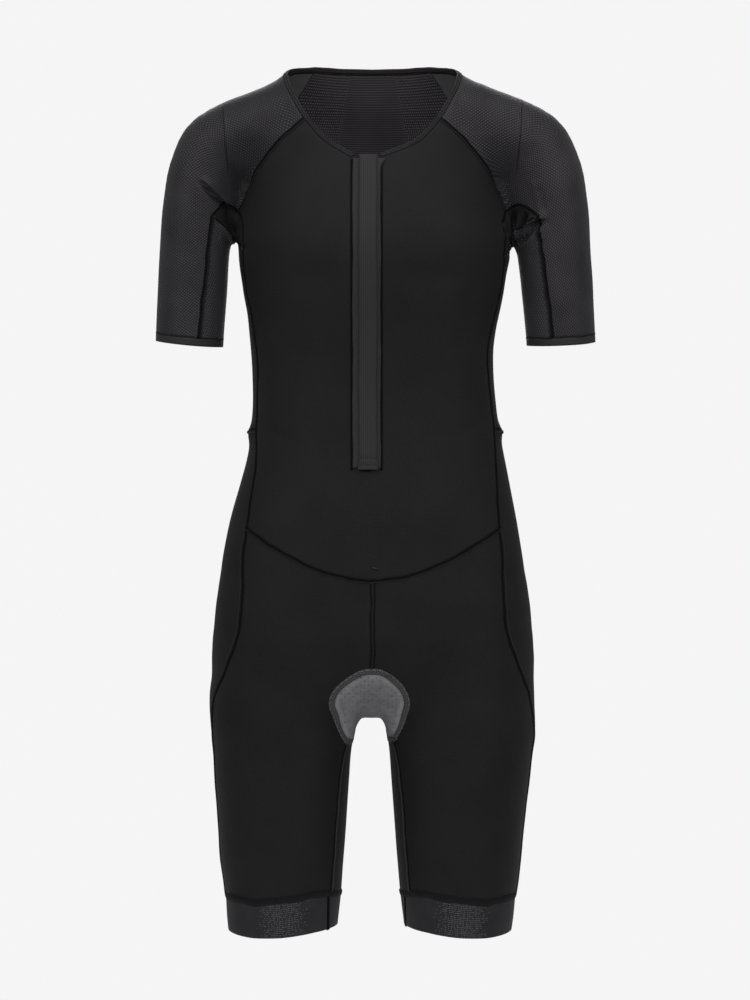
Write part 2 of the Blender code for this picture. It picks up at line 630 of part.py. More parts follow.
def build_band(name, seam_ring, height, rows):
    """A ring of cloth that carries a sleeve or a leg on, straight down by its height."""
    levels = np.linspace(0, height, rows + 1)[:, None, None] * (0, 0, -1)
    grid = put_on_form(seam_ring + levels)
    grid[:, -1] = grid[:, 0]
    both_sides(name, trimmed(grid, columns=False), "band_knit", BAND_THICK, lift=-BAND_THICK + 0.1)


def build_neck_binding(lines):
    left, right = neck_to_zip(lines, ZIP_X)[:-1], neck_to_zip(lines, -ZIP_X)[:-1]
    turned = np.array([-1, 1, 1])
    side = joined(lines["neck_side"], lines["neck_back"])
    path = joined(left[::-1], side, (side * turned)[::-1], right * turned)
    along = np.gradient(path, axis=0)
    up = np.cross(along, outward(path))
    up /= np.linalg.norm(up, axis=1)[:, None]
    up *= np.where(up[:, 2:] < 0, -1, 1)
    grid = np.array([path, put_on_form(path + up * NECK_BINDING)])
    lift = (-KNIT - NECK_BINDING_THICK) / 2
    wall("neck_binding", trimmed(grid), "band_knit", NECK_BINDING_THICK, lift)


# ---- the zip and its guard -------------------------------------------------------------------------------
def strip(name, left, right, top, bottom, rows, material, thickness, lift):
    """A strip of the front between two x and two heights. lift is a height, or names the pieces it lies on."""
    places = [[(x, height) for x in np.linspace(left, right, 3)] for height in np.linspace(bottom, top, rows + 1)]
    grid = front(np.array(places).reshape(-1, 2)).reshape(rows + 1, 3, 3)
    if isinstance(lift, tuple):
        lift = seat_on(grid, *lift)
    wall(name, grid, material, thickness, lift)


def build_zip():
    tape_top, zip_foot = ZIP_TOP_Z - 3, ZIP_END_Z + 8
    half_gap = SEAT / 2
    strip("zip_tape_left", ZIP_X - TAPE_HALF, ZIP_X - half_gap, tape_top, ZIP_END_Z + 2, ZIP_ROWS,
          "zip_nylon", TAPE_THICK, ("front_panel",))
    strip("zip_tape_right", ZIP_X + half_gap, ZIP_X + TAPE_HALF, tape_top, ZIP_END_Z + 2, ZIP_ROWS,
          "zip_nylon", TAPE_THICK, ("front_panel",))
    strip("zip_guard", GUARD_X - GUARD_HALF, GUARD_X + GUARD_HALF, ZIP_TOP_Z, ZIP_END_Z, ZIP_ROWS,
          "band_knit", GUARD_THICK, ("zip_tape_left", "zip_tape_right"))
    slider_top = tape_top - 4
    slider_foot = slider_top - SLIDER_TALL
    strip("zip_coil", ZIP_X - COIL_HALF, ZIP_X + COIL_HALF, slider_foot - SEAT, zip_foot, ZIP_ROWS,
          "zip_nylon", COIL_THICK, -COIL_THICK)
    strip("zip_slider", ZIP_X - SLIDER_HALF, ZIP_X + SLIDER_HALF, slider_top, slider_foot, 1,
          "zip_metal", SLIDER_DEEP, -SLIDER_DEEP)
    strip("zip_pull", ZIP_X - PULL_HALF, ZIP_X + PULL_HALF, slider_top - 3, slider_top - 3 - PULL_LONG, 1,
          "zip_metal", PULL_THICK, -SLIDER_DEEP - SEAT - PULL_THICK)


# ---- the seat pad ----------------------------------------------------------------------------------------
def walk(starts, direction, lengths, steps):
    """Rows of places reached by walking over the form, straight on from each start, in even steps."""
    place, way = starts, np.tile(np.asarray(direction, float), (len(starts), 1))
    places = [place]
    for _ in range(steps):
        ahead = put_on_form(place + way * (lengths / steps)[:, None])
        way = ahead - place
        way /= np.linalg.norm(way, axis=1)[:, None]
        place = ahead
        places.append(place)
    return np.array(places).transpose(1, 0, 2)


def pad_grid(inset):
    """The pad's outline drawn in by inset, filled with rows across its middle line."""
    line = smooth_curve(PAD_LINE, 200)
    length = way_along(line)
    stops = np.linspace(inset, length[-1] - inset, PAD_ROWS + 1)
    middle = np.column_stack([np.interp(stops, length, line[:, k]) for k in range(3)])
    middle = put_on_form(middle)
    middle[:, 0] = 0
    half_width = read_table(PAD_WIDTH, stops / length[-1])[:, 0] - inset
    half = walk(middle, (-1, 0, 0), half_width, PAD_COLUMNS // 2)[:, ::-1]
    return np.hstack([half, mirrored(half)[:, 1:]])


def rim(grid):
    """The grid's outline as one closed loop."""
    return np.vstack([grid[0, :-1], grid[:-1, -1], grid[-1, :0:-1], grid[:0:-1, 0], grid[:1, 0]])


def build_pad():
    grid = pad_grid(PAD_BORDER + SEAT)
    down, across = np.meshgrid(*[np.linspace(-1, 1, n) for n in grid.shape[:2]], indexing="ij")
    fullness = (1 - down**4) * (1 - across**2)
    thickness = PAD_EDGE + (PAD_MIDDLE - PAD_EDGE) * fullness
    cloth = [f"{half}_leg_{side}" for half in ("front", "back") for side in ("left", "right")]
    wall("seat_pad", grid, "pad_foam", thickness, seat_on(grid, *cloth))
    border = np.array([rim(pad_grid(PAD_BORDER)), rim(pad_grid(0.0))])
    wall("seat_pad_border", border, "band_knit", PAD_BORDER_THICK, seat_on(border, *cloth))


def main():
    lines = sew_lines()
    build_front(lines)
    build_back(lines)
    build_sides(lines)
    build_sleeves(lines)
    build_legs(lines)
    build_neck_binding(lines)
    build_zip()
    build_pad()


for old in list(bpy.data.objects):
    bpy.data.objects.remove(old, do_unlink=True)
SUIT = bpy.data.collections.new("triathlon_suit")
bpy.context.scene.collection.children.link(SUIT)
MATERIALS = {name: make_material(name) for name in COLOURS}
ARM_AXIS = smooth_curve(ARM, ARM_PARTS)
main()
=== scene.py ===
# %% [markdown]
# # A triathlon suit, turned inside out
# The suit is filled out as if worn, with nobody in it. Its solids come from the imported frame: every panel,
# band, zip part and the seat pad has a node of its own. Each step below takes one kind of piece, says what it
# is on the real suit, and turns its plain solid into finished cloth.

# %% Load the frame
import math

import bmesh
import bpy
import numpy as np
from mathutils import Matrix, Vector
from mathutils.kdtree import KDTree


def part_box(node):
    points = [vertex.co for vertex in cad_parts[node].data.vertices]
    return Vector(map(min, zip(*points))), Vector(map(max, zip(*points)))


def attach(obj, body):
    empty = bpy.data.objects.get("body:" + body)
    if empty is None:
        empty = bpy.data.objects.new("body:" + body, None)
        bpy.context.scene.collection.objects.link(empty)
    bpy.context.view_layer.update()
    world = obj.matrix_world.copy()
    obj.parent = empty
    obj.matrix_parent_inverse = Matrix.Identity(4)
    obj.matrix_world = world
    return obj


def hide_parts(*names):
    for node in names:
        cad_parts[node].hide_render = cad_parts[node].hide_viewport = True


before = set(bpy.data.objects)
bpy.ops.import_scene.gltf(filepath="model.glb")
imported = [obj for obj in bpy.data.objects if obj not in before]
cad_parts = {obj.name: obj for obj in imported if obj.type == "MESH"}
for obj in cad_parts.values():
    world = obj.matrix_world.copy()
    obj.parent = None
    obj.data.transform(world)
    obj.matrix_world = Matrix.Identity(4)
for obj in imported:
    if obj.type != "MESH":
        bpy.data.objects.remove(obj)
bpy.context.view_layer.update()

MM = 0.001
print("nodes:", len(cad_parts))

# %% [markdown]
# ## Camera, light and floor
# A black suit needs light that is broad and soft, or its folds and knits disappear. Two big panels stand in
# front at either side, one hangs overhead, and the pale surroundings fill in the rest. The camera is far away
# with a long lens, as for a catalogue picture, so the suit's two sides look alike.

# %% Camera
CAMERA_DISTANCE = 3.2
VIEW_TALL = 1.07                 # metres of the suit's middle plane that the picture's height takes in
VIEW_MIDDLE = (0.0027, -0.444)   # what the camera looks at, across and up

camera_data = bpy.data.cameras.new("camera")
camera_data.sensor_width = 36.0
camera_data.lens = camera_data.sensor_width * CAMERA_DISTANCE / VIEW_TALL
camera_data.dof.use_dof = False
camera = bpy.data.objects.new("camera", camera_data)
camera.location = (VIEW_MIDDLE[0], -CAMERA_DISTANCE, VIEW_MIDDLE[1])
camera.rotation_euler = (math.radians(90), 0, 0)
bpy.context.scene.collection.objects.link(camera)
bpy.context.scene.camera = camera
print("lens:", round(camera_data.lens, 1))

# %% Soft studio light
SUIT_MIDDLE = Vector((0, 0, -0.45))
LIGHT_GIVEN, PALENESS_SEEN = 0.27, 0.913      # what the surroundings give as light, and how pale they look


def soft_light(name, place, size, watts):
    """A square soft light that faces the middle of the suit."""
    light = bpy.data.lights.new(name, "AREA")
    light.shape = "SQUARE"
    light.size = size
    light.energy = watts
    lamp = bpy.data.objects.new(name, light)
    lamp.location = place
    lamp.rotation_euler = (SUIT_MIDDLE - Vector(place)).to_track_quat("-Z", "Y").to_euler()
    bpy.context.scene.collection.objects.link(lamp)


soft_light("left_panel_light", (-2.6, -2.2, 0.9), 1.6, 38)
soft_light("right_panel_light", (2.6, -2.2, 0.9), 1.6, 38)
soft_light("overhead_light", (0, -0.9, 1.9), 1.8, 38)
soft_light("front_light", (0, -2.9, 0.9), 1.0, 24)
soft_light("back_light", (0, 2.6, 0.8), 1.8, 38)

world = bpy.data.worlds.new("studio")
bpy.context.scene.world = world
world.use_nodes = True
sky = world.node_tree.nodes["Background"]
sky.inputs["Color"].default_value = (1, 1, 1, 1)
ray = world.node_tree.nodes.new("ShaderNodeLightPath")
fill = world.node_tree.nodes.new("ShaderNodeMapRange")
fill.inputs["To Min"].default_value = LIGHT_GIVEN
fill.inputs["To Max"].default_value = PALENESS_SEEN
world.node_tree.links.new(ray.outputs["Is Camera Ray"], fill.inputs["Value"])
world.node_tree.links.new(fill.outputs["Result"], sky.inputs["Strength"])
bpy.context.scene.view_settings.view_transform = "Standard"
print("lights:", [light.name for light in bpy.data.lights])

# %% Floor
FLOOR_Z, FLOOR_HALF = -1.3, 1.5

floor_bm = bmesh.new()
bmesh.ops.create_grid(floor_bm, x_segments=1, y_segments=1, size=FLOOR_HALF)
bmesh.ops.translate(floor_bm, verts=floor_bm.verts, vec=(0, 0, FLOOR_Z))
floor_mesh = bpy.data.meshes.new("floor")
floor_bm.to_mesh(floor_mesh)
floor_bm.free()
floor = bpy.data.objects.new("floor", floor_mesh)
bpy.context.scene.collection.objects.link(floor)
floor_material = bpy.data.materials.new("pale_floor")
floor_material.use_nodes = True
floor_shader = floor_material.node_tree.nodes["Principled BSDF"]
floor_shader.inputs["Base Color"].default_value = (0.86, 0.86, 0.86, 1)
floor_shader.inputs["Roughness"].default_value = 0.9
floor.data.materials.append(floor_material)
print("floor at", FLOOR_Z)

# %% [markdown]
# ## The form under the cloth
# Stretch cloth takes the shape of what fills it, so every panel lies on one smooth form: a trunk, two arms
# and two legs that melt into each other. The form is a function that says how far any place is from its
# surface. With it, coarse solids can be divided finely and each new point put exactly on the surface, so that
# the panels run into one another with no steps at their seams. Lengths in these tables are millimetres.

# %% The form's sections
TRUNK = np.array([  # height, half width, front depth, back depth, squareness
    (40, 82, 40, 50, 2.0),
    (20, 86, 42, 55, 2.0),
    (0, 92, 47, 64, 2.0),
    (-37, 104, 62, 80, 2.1),
    (-76, 118, 80, 91, 2.2),
    (-123, 134, 97, 97, 2.3),
    (-177, 146, 108, 95, 2.3),
    (-219, 139, 105, 88, 2.3),
    (-262, 131, 97, 80, 2.2),
    (-301, 128, 92, 76, 2.2),
    (-337, 129, 90, 78, 2.2),
    (-376, 133, 91, 86, 2.2),
    (-423, 142, 94, 98, 2.2),
    (-476, 153, 97, 110, 2.3),
    (-530, 162, 98, 117, 2.3),
    (-583, 168, 97, 116, 2.3),
    (-637, 170, 92, 108, 2.3),
    (-690, 170, 90, 100, 2.3),
], float)
HIP_TURN_Z, CROTCH_Z = -585.0, -669.0

ARM = np.array([  # centre x, centre height, radius
    (-82, -38, 46),
    (-113, -47, 44),
    (-142, -56, 43),
    (-167, -68, 40.5),
    (-180, -91, 40.5),
    (-187.5, -128, 39),
    (-192.8, -177, 37.2),
    (-195.5, -230, 36.5),
    (-198, -276, 36),
    (-200, -320, 35),
], float)
ARM_Y, ARM_DEPTH, ARM_PARTS = 4.0, 1.25, 40

LEG = np.array([  # height, centre x, half width, half depth, centre y
    (-540, -86, 67, 80, 8),
    (-600, -91, 78, 88, 8),
    (-650, -94, 78, 88, 7),
    (-700, -95, 76, 84, 6),
    (-750, -95.5, 72, 79, 4),
    (-790, -95, 68.5, 75, 3),
    (-830, -95, 65.5, 71, 2),
    (-868, -93.5, 61, 66, 1),
    (-905, -93.5, 56.5, 61, 0),
    (-950, -93, 52, 57, 0),
], float)
LEG_SQUARENESS, LEG_TOP_Z, LEG_BLEND = 2.15, -545.0, 30.0
LEG_TOP_SOFTNESS, ARM_END_Z = 30.0, -420
ARM_BLEND = np.array([  # height, softness of the join of arm and trunk
    (-180, 5),
    (-172, 8),
    (-163, 24),
    (-140, 32),
    (-110, 40),
    (-60, 40),
    (-20, 26),
], float)
print("sections:", len(TRUNK), len(ARM), len(LEG))


# %% Tables and curves
def read_table(table, places):
    """The smooth values of a table at these places. Its first column is the place, rising or falling."""
    rows = table if table[0, 0] < table[-1, 0] else table[::-1]
    knots, values = rows[:, 0], rows[:, 1:]
    slopes = np.gradient(values, knots, axis=0)
    places = np.clip(places, knots[0], knots[-1])
    at = np.clip(np.searchsorted(knots, places, side="right") - 1, 0, len(knots) - 2)
    span = knots[at + 1] - knots[at]
    t = ((places - knots[at]) / span)[:, None]
    span = span[:, None]
    return ((2 * t**3 - 3 * t**2 + 1) * values[at] + (t**3 - 2 * t**2 + t) * span * slopes[at]
            + (3 * t**2 - 2 * t**3) * values[at + 1] + (t**3 - t**2) * span * slopes[at + 1])


def way_along(points):
    """How far each point lies along the line through them."""
    return np.concatenate([[0.0], np.cumsum(np.linalg.norm(np.diff(points, axis=0), axis=1))])


def smooth_curve(points, steps):
    """A smooth curve through the points in even steps."""
    points = np.asarray(points, float)
    place = way_along(points)
    table = np.column_stack([place, points])
    fine = np.linspace(0, place[-1], 400)
    length = way_along(read_table(table, fine))
    even = np.interp(np.linspace(0, length[-1], steps + 1), length, fine)
    return read_table(table, even)


ARM_AXIS = smooth_curve(ARM, ARM_PARTS)
ARM_PLACES = way_along(ARM_AXIS[:, :2])
print("arm axis:", len(ARM_AXIS), "points,", round(ARM_PLACES[-1]), "mm")


# %% How far a place is from the form
def soft_union(one, other, softness):
    """The distance from two shapes that melt into each other."""
    share = np.clip(0.5 + 0.5 * (other - one) / softness, 0, 1)
    return other + (one - other) * share - softness * share * (1 - share)


def trunk_distance(p):
    """Its sections are squarish ovals, and below the hips they close to a rounded end."""
    half_width, front, back, squareness = read_table(TRUNK, p[:, 2]).T
    depth = np.where(p[:, 1] < 0, front, back)
    across, deep = np.abs(p[:, 0]) / half_width, np.abs(p[:, 1]) / depth
    size = (across**squareness + deep**squareness)**(1 / squareness)
    drop = np.maximum(HIP_TURN_Z - p[:, 2], 0)
    size = np.hypot(size, drop / (HIP_TURN_Z - CROTCH_Z)) + 1e-9
    return np.sqrt(p[:, 0]**2 + p[:, 1]**2 + drop**2) * (1 - 1 / size)


def along_segment(x, z, start, end, least=0):
    """For places (x, z): the share of the way along a segment, and how far they are from it across and up."""
    run_x, run_z = end[0] - start[0], end[1] - start[1]
    t = np.clip(((x - start[0]) * run_x + (z - start[1]) * run_z) / (run_x**2 + run_z**2), least, 1)
    return t, x - start[0] - t * run_x, z - start[1] - t * run_z


def arm_distance(p):
    """An arm is a row of cones round its bent axis, deeper than it is wide."""
    x, y, z = p[:, 0], (p[:, 1] - ARM_Y) / ARM_DEPTH, p[:, 2]
    nearest = np.full(len(p), 1e9)
    for start, end in zip(ARM_AXIS, ARM_AXIS[1:]):
        t, off_x, off_z = along_segment(x, z, start, end)
        radius = start[2] + t * (end[2] - start[2])
        nearest = np.minimum(np.sqrt(off_x**2 + y**2 + off_z**2) - radius, nearest)
    return nearest


def leg_distance(p, top):
    """A leg's sections are squarish ovals, and its top ends softly inside the trunk."""
    centre_x, half_width, half_depth, centre_y = read_table(LEG, p[:, 2]).T
    across, deep = p[:, 0] - centre_x, p[:, 1] - centre_y
    size = (np.abs(across) / half_width)**LEG_SQUARENESS + (np.abs(deep) / half_depth)**LEG_SQUARENESS
    leg = np.hypot(across, deep) * (1 - 1 / (size**(1 / LEG_SQUARENESS) + 1e-9))
    return -soft_union(-leg, LEG_TOP_Z - p[:, 2], top)


def form(p, top=LEG_TOP_SOFTNESS):
    """Distance from the form's surface, negative inside it. Places and distances are in millimetres."""
    left = np.column_stack([-np.abs(p[:, 0]), p[:, 1], p[:, 2]])
    body = soft_union(trunk_distance(left), leg_distance(left, top), LEG_BLEND)
    near_arm = left[:, 2] > ARM_END_Z
    reach = body.copy()
    arm = arm_distance(left[near_arm])
    reach[near_arm] = soft_union(body[near_arm], arm, np.interp(left[near_arm, 2], *ARM_BLEND.T))
    return reach


print("form at the origin:", round(float(form(np.zeros((1, 3)))[0]), 1), "mm")


# %% Outwards, and onto the form
def slope(p):
    """The way in which the distance grows, found from places a twentieth of a millimetre to each side."""
    step = 0.05
    return np.column_stack([(form(p + shift) - form(p - shift)) / (2 * step) for shift in np.eye(3) * step])


def outward(points):
    """The outward direction of the form at each place (metres)."""
    direction = slope(points / MM)
    return direction / np.linalg.norm(direction, axis=1)[:, None]


LONGEST_MOVE = 8     # mm in one round


def put_on_form(points, rounds=5):
    """Each place (metres) moved to the nearest place of the form's surface."""
    p = np.array(points, float) / MM
    for _ in range(rounds):
        grade = slope(p)
        move = (form(p) / (grade**2).sum(1))[:, None] * grade
        length = np.linalg.norm(move, axis=1)[:, None]
        p -= move * np.minimum(1, LONGEST_MOVE / np.maximum(length, 1e-9))
    return p * MM


print("below the legs' join:", np.round(put_on_form(np.array([[0, 0, -700 * MM]]))[0] / MM, 1), "mm")

# %% [markdown]
# ## From a solid to fine cloth
# A panel's solid is a wall with an outer face, an inner face and a rim, cut into large triangles. Cloth needs
# one fine skin. So the solid is copied, its loose triangles are merged, and only the outer face is kept. Long
# edges are halved until all are short. Then the points are evened out, which also rounds the edges into
# smooth seam lines, and put back on the form. Creases come next, and Solidify gives the cloth its thickness.

# %% The outer skin of a node, and how it is divided
CLOTH_EDGE = 3.0 * MM
LONG_EDGE = 24 * MM        # longer edges are halved first, so that all triangles end up alike
SAME_POINT = 0.03 * MM


def merged_copy(node):
    """A bmesh of a node's solid with its loose triangles merged."""
    bm = bmesh.new()
    bm.from_mesh(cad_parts[node].data)
    bmesh.ops.remove_doubles(bm, verts=bm.verts, dist=SAME_POINT)
    return bm


def skin_of(node, lowest=-0.5):
    """The outer face of a node: what lies above the solids' form, or less than half a millimetre below it."""
    bm = merged_copy(node)
    height = form(np.array([v.co for v in bm.verts]) / MM, top=1.0)
    bmesh.ops.delete(bm, geom=[v for v, h in zip(bm.verts, height) if h < lowest], context="VERTS")
    return bm


def cut_edges(bm, edges, cuts, use_grid_fill):
    """Cuts edges into parts, and the faces beside them into triangles."""
    if edges:
        bmesh.ops.subdivide_edges(bm, edges=edges, cuts=cuts, use_grid_fill=use_grid_fill)
        bmesh.ops.triangulate(bm, faces=[face for face in bm.faces if len(face.verts) > 3])


def divide(bm, longest):
    """Cuts a mesh into triangles whose edges are about this long."""
    for _ in range(2):
        cut_edges(bm, [edge for edge in bm.edges if edge.calc_length() > LONG_EDGE], 1, False)
    usual = float(np.mean([edge.calc_length() for edge in bm.edges]))
    cut_edges(bm, bm.edges[:], max(1, round(usual / longest) - 1), True)


print("cloth edges:", round(CLOTH_EDGE / MM, 1), "mm")


# %% Evening out
EVENING_SHARE, ROUNDS_OFF_FORM = 0.6, 8


def mean_of_neighbours(points, edges):
    """The mean of the points that each point is joined to."""
    here, there = np.vstack([edges, edges[:, ::-1]]).T
    count = np.bincount(here, minlength=len(points))
    total = np.column_stack([np.bincount(here, points[there, k], len(points)) for k in range(3)])
    return total / np.maximum(count, 1)[:, None]


def even_out(bm, rounds=24, corner=48):
    """Evens out a skin. Points on its rim move along the rim, and the rim's corners stay."""
    bm.verts.index_update()
    points = np.array([v.co for v in bm.verts])
    edges = np.array([[v.index for v in edge.verts] for edge in bm.edges])
    rim_edges = edges[[edge.is_boundary for edge in bm.edges]]
    rim = np.zeros(len(points), bool)
    rim[rim_edges.ravel()] = True
    fixed = np.zeros(len(points), bool)
    for vert in bm.verts:
        ways = [edge.other_vert(vert).co - vert.co for edge in vert.link_edges if edge.is_boundary]
        if len(ways) == 2 and math.degrees(ways[0].angle(-ways[1])) > corner:
            fixed[vert.index] = True
    for number in range(rounds):
        along_rim, all_round = mean_of_neighbours(points, rim_edges), mean_of_neighbours(points, edges)
        target = np.where(rim[:, None], along_rim, all_round)
        points = np.where(fixed[:, None], points, points + EVENING_SHARE * (target - points))
        if (number + 1) % ROUNDS_OFF_FORM == 0:
            points = put_on_form(points, 2)
    return put_on_form(points, 4)


print("each round moves points", EVENING_SHARE, "of the way to their neighbours' mean")

# %% The armpits
ARMPIT_FOLDS = [  # each from (x, z) to (x, z)
    ((-187, -98), (-146, -136)), ((-164, -140), (-150, -172)),
    ((186, -142), (150, -178)), ((146, -140), (168, -150))]
FOLD_REACH, FOLD_BACK_Y = 13, 25


def refine_armpits(bm):
    """Halves the edges near the folds at the two armpits."""
    x, y, z = np.array([(edge.verts[0].co + edge.verts[1].co) / 2 / MM for edge in bm.edges]).T
    near = np.zeros(len(x), bool)
    for start, end in ARMPIT_FOLDS:
        _, off_x, off_z = along_segment(x, z, start, end)
        near |= (np.hypot(off_x, off_z) < FOLD_REACH) & (y < FOLD_BACK_Y)
    cut_edges(bm, [edge for edge, is_near in zip(bm.edges, near) if is_near], 1, True)


def fade(value, start, end):
    """From 0 to 1 while a value goes from start to end, either way."""
    return np.clip((value - start) / (end - start), 0, 1)


def hump(value, middle, width):
    """1 at the middle, falling away smoothly to both sides."""
    return np.exp(-((value - middle) / width)**2)


def slide_seams(points):
    """The seams round the two armpits aren't each other's mirror image."""
    x, y, z = (points / MM).T
    front = fade(y, 8, -12)
    right = 10.0 * np.exp(-((x - 141) / 20)**2 - ((z + 162) / 34)**2)
    left = hump(x, -176, 17) * np.interp(-z, [120, 145, 210, 270, 300], [0, 3.2, 2.0, 1.2, 1.0])
    return put_on_form(points + np.column_stack([(left - right) * front, 0 * x, 0 * x]) * MM, 4)


print("folds at the armpits:", len(ARMPIT_FOLDS))

# %% Every panel's skin
CLOTH_NODES = [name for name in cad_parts
               if name.endswith(("_panel", "_left", "_right")) and not name.startswith("zip")]
FINER = {"side_panel": 0.56, "undersleeve": 0.56, "sleeve_l": 0.72, "sleeve_r": 0.72}
skins = {}
for name in CLOTH_NODES:
    skin = skin_of(name)
    fineness = next((share for start, share in FINER.items() if name.startswith(start)), 1.0)
    divide(skin, CLOTH_EDGE * fineness)
    if fineness < 1:
        refine_armpits(skin)
    skins[name] = (skin, slide_seams(even_out(skin)))
print("skins:", {name: len(skin.faces) for name, (skin, _) in skins.items()})

# %% [markdown]
# ## Seam lines
# Two panels that are sewn together have the same line along their edges. Each panel's rim is walked in order,
# and the stretch of it that runs beside another panel's rim is their seam line. The line lies half way
# between the two rims, so a seam laid on it covers the join.

# %% Rims and the lines that they share
def rims(bm):
    """The rims of a skin, each as its vertex numbers in order."""
    onward = {}
    for edge in bm.edges:
        if edge.is_boundary:
            loop = edge.link_loops[0]
            onward[loop.vert.index] = loop.link_loop_next.vert.index
    found = []
    while onward:
        start, here = next(iter(onward.items()))
        line = [start]
        del onward[start]
        while here in onward:
            line.append(here)
            here = onward.pop(here)
        found.append(line)
    return found


rim_lines = {}
for name, (skin, points) in skins.items():
    rim_lines[name] = [points[line] for line in rims(skin)]


def search_tree(points):
    tree = KDTree(len(points))
    for number, place in enumerate(points):
        tree.insert(place, number)
    tree.balance()
    return tree


SHORTEST_SEAM = 12 * MM


def shared_lines(one, other, reach=2.4 * MM):
    """The lines along which two panels meet."""
    there = np.vstack(rim_lines[other])
    tree = search_tree(there)
    lines = []
    for rim in rim_lines[one]:
        found = [tree.find(place) for place in rim]
        near = np.array([gap < reach for _, _, gap in found])
        middle = np.array([(place + there[number]) / 2 for place, (_, number, _) in zip(rim, found)])
        if near.all():
            lines.append(np.vstack([middle, middle[:1]]))
            continue
        start = int(np.argmin(near))
        near, middle = np.roll(near, -start), np.roll(middle, -start, axis=0)
        edges = np.flatnonzero(np.diff(np.concatenate([[0], near.astype(int), [0]])))
        for first, last in zip(edges[::2], edges[1::2]):
            if way_along(middle[first:last])[-1] > SHORTEST_SEAM:
                lines.append(middle[first:last])
    return lines


print("rims:", {name: len(lines) for name, lines in rim_lines.items()})

# %% [markdown]
# ## Creases
# Stretch cloth that nobody wears keeps a few soft creases: a pressed line on each shoulder, gathers that run
# out of each armpit, and a shallow dip under the chest. Each is a line on the form with a width and a height.
# Cloth near the line is raised or sunk by a smooth hump. Simulation would scatter creases anywhere; listed
# one by one, each lies where such a suit has it. Both sides have their own, because no two armpits crease
# alike.

# %% Casting a line on the form
def cast(across_and_up, from_front=True):
    """Places (x, z) in millimetres put on the front or the back of the form, in metres."""
    flat = np.asarray(across_and_up, float)
    sign = 1.0 if from_front else -1.0
    p = np.column_stack([flat[:, 0], np.full(len(flat), -sign * 160.0), flat[:, 1]])
    best, lowest = p.copy(), np.full(len(p), 1e9)
    for _ in range(90):
        gap = form(p)
        closer = gap < lowest
        lowest = np.where(closer, gap, lowest)
        best[closer] = p[closer]
        p[:, 1] += sign * np.where(lowest < 0.02, 0, np.clip(0.6 * gap, 0.02, 20))
    return put_on_form(best * MM)


print("middle of the chest:", np.round(cast([(0, -177)])[0] / MM, 1), "mm")

# %% The creases
FRONT_CREASES = [  # line as (x, z), width, height
    ([(-159, -29), (-156, -64), (-152, -98), (-149, -130)], 2.2, 0.4),
    ([(-156, -136), (-153, -152), (-149, -165)], 4.0, -5.0),
    ([(-164, -150), (-157, -161), (-151, -171)], 2.6, 2.4),
    ([(-154, -155), (-152, -174)], 2.2, 1.8),
    ([(-170, -148), (-164, -168)], 2.6, -1.8),
    ([(-149, -166), (-140, -176), (-131, -181)], 2.6, -1.6),
    ([(-146, -168), (-141, -190), (-139, -212)], 3.0, -1.1),
    ([(166, -32), (163, -68), (160, -104)], 2.2, 0.4),
    ([(174, -111), (178, -127), (181, -143)], 3.0, -2.0),
    ([(169, -106), (173, -126), (176, -144)], 2.6, 1.2),
    ([(186, -122), (185, -160)], 2.8, -1.1),
    ([(150, -136), (150, -152), (153, -170)], 3.2, -6.0),
    ([(143, -138), (147, -152), (151, -168)], 2.4, 2.2),
    ([(156, -138), (155, -154), (154, -168)], 2.2, 2.4),
    ([(163, -139), (160, -152), (155, -170)], 3.0, -6.0),
    ([(169, -142), (164, -154), (157, -169)], 2.4, 2.6),
    ([(177, -147), (168, -158), (157, -172)], 3.4, -6.5),
    ([(179, -157), (170, -167), (161, -176)], 2.6, 2.4),
    ([(180, -168), (172, -178), (166, -190)], 2.8, -1.8),
    ([(138, -146), (140, -156), (144, -164)], 3.2, -3.6),
    ([(134, -158), (140, -170), (149, -178)], 2.8, 2.0),
    ([(153, -176), (144, -182), (136, -186)], 2.6, -2.6),
    ([(150, -180), (146, -198), (144, -216)], 2.8, -1.0),
    ([(20, -692), (26, -697), (32, -703)], 2.2, -3.0),
    ([(-92, -207), (-64, -217), (-34, -222)], 20, -2.2),
    ([(30, -221), (62, -216), (94, -205)], 20, -2.2),
    ([(-118, -236), (-96, -262), (-84, -300)], 14, -0.7),
    ([(116, -232), (99, -258), (88, -292)], 13, -0.8),
    ([(-124, -352), (-106, -372), (-82, -384)], 7, -0.7),
    ([(125, -346), (104, -366), (86, -376)], 7, -0.6),
    ([(-62, -640), (-44, -664), (-34, -690)], 8, -0.9),
    ([(63, -636), (46, -660), (35, -688)], 8, -0.8),
    ([(-120, -846), (-104, -860)], 4, -0.5),
    ([(-84, -852), (-78, -864)], 3.6, -0.5),
    ([(88, -850), (95, -864)], 3.8, -0.5),
    ([(122, -848), (114, -862)], 3.6, -0.5),
]
SIDE_SWELLS = [  # line as (x, y, z), width, height; the ends of the waist seam, and the cloth under the arms
    ([(-126, -34, -373), (-130, -14, -373), (-131, 8, -373), (-126, 28, -373)], 9.0, 2.6),
    ([(126, -34, -371), (130, -14, -371), (131, 8, -371), (126, 28, -371)], 9.0, 3.0),
    ([(152, -34, -166), (153, -10, -166), (153, 14, -166), (152, 34, -166)], 8.0, 6.0),
    ([(148.5, -30, -167), (148.5, 0, -167), (148.5, 30, -167)], 3.0, 1.3),
    ([(-149, -30, -166), (-149, 0, -166), (-149, 30, -166)], 7.0, 1.6),
]
TUCKS = [  # line as (x, z), width, height, overhang; the cloth below the line is tucked in under it
    ([(-184, -105), (-173, -116), (-161, -128), (-147, -138)], 3.0, 3.4, 4.6),
    ([(184, -146), (172, -149), (161, -155), (154, -163)], 3.4, 2.2, 2.8),
]
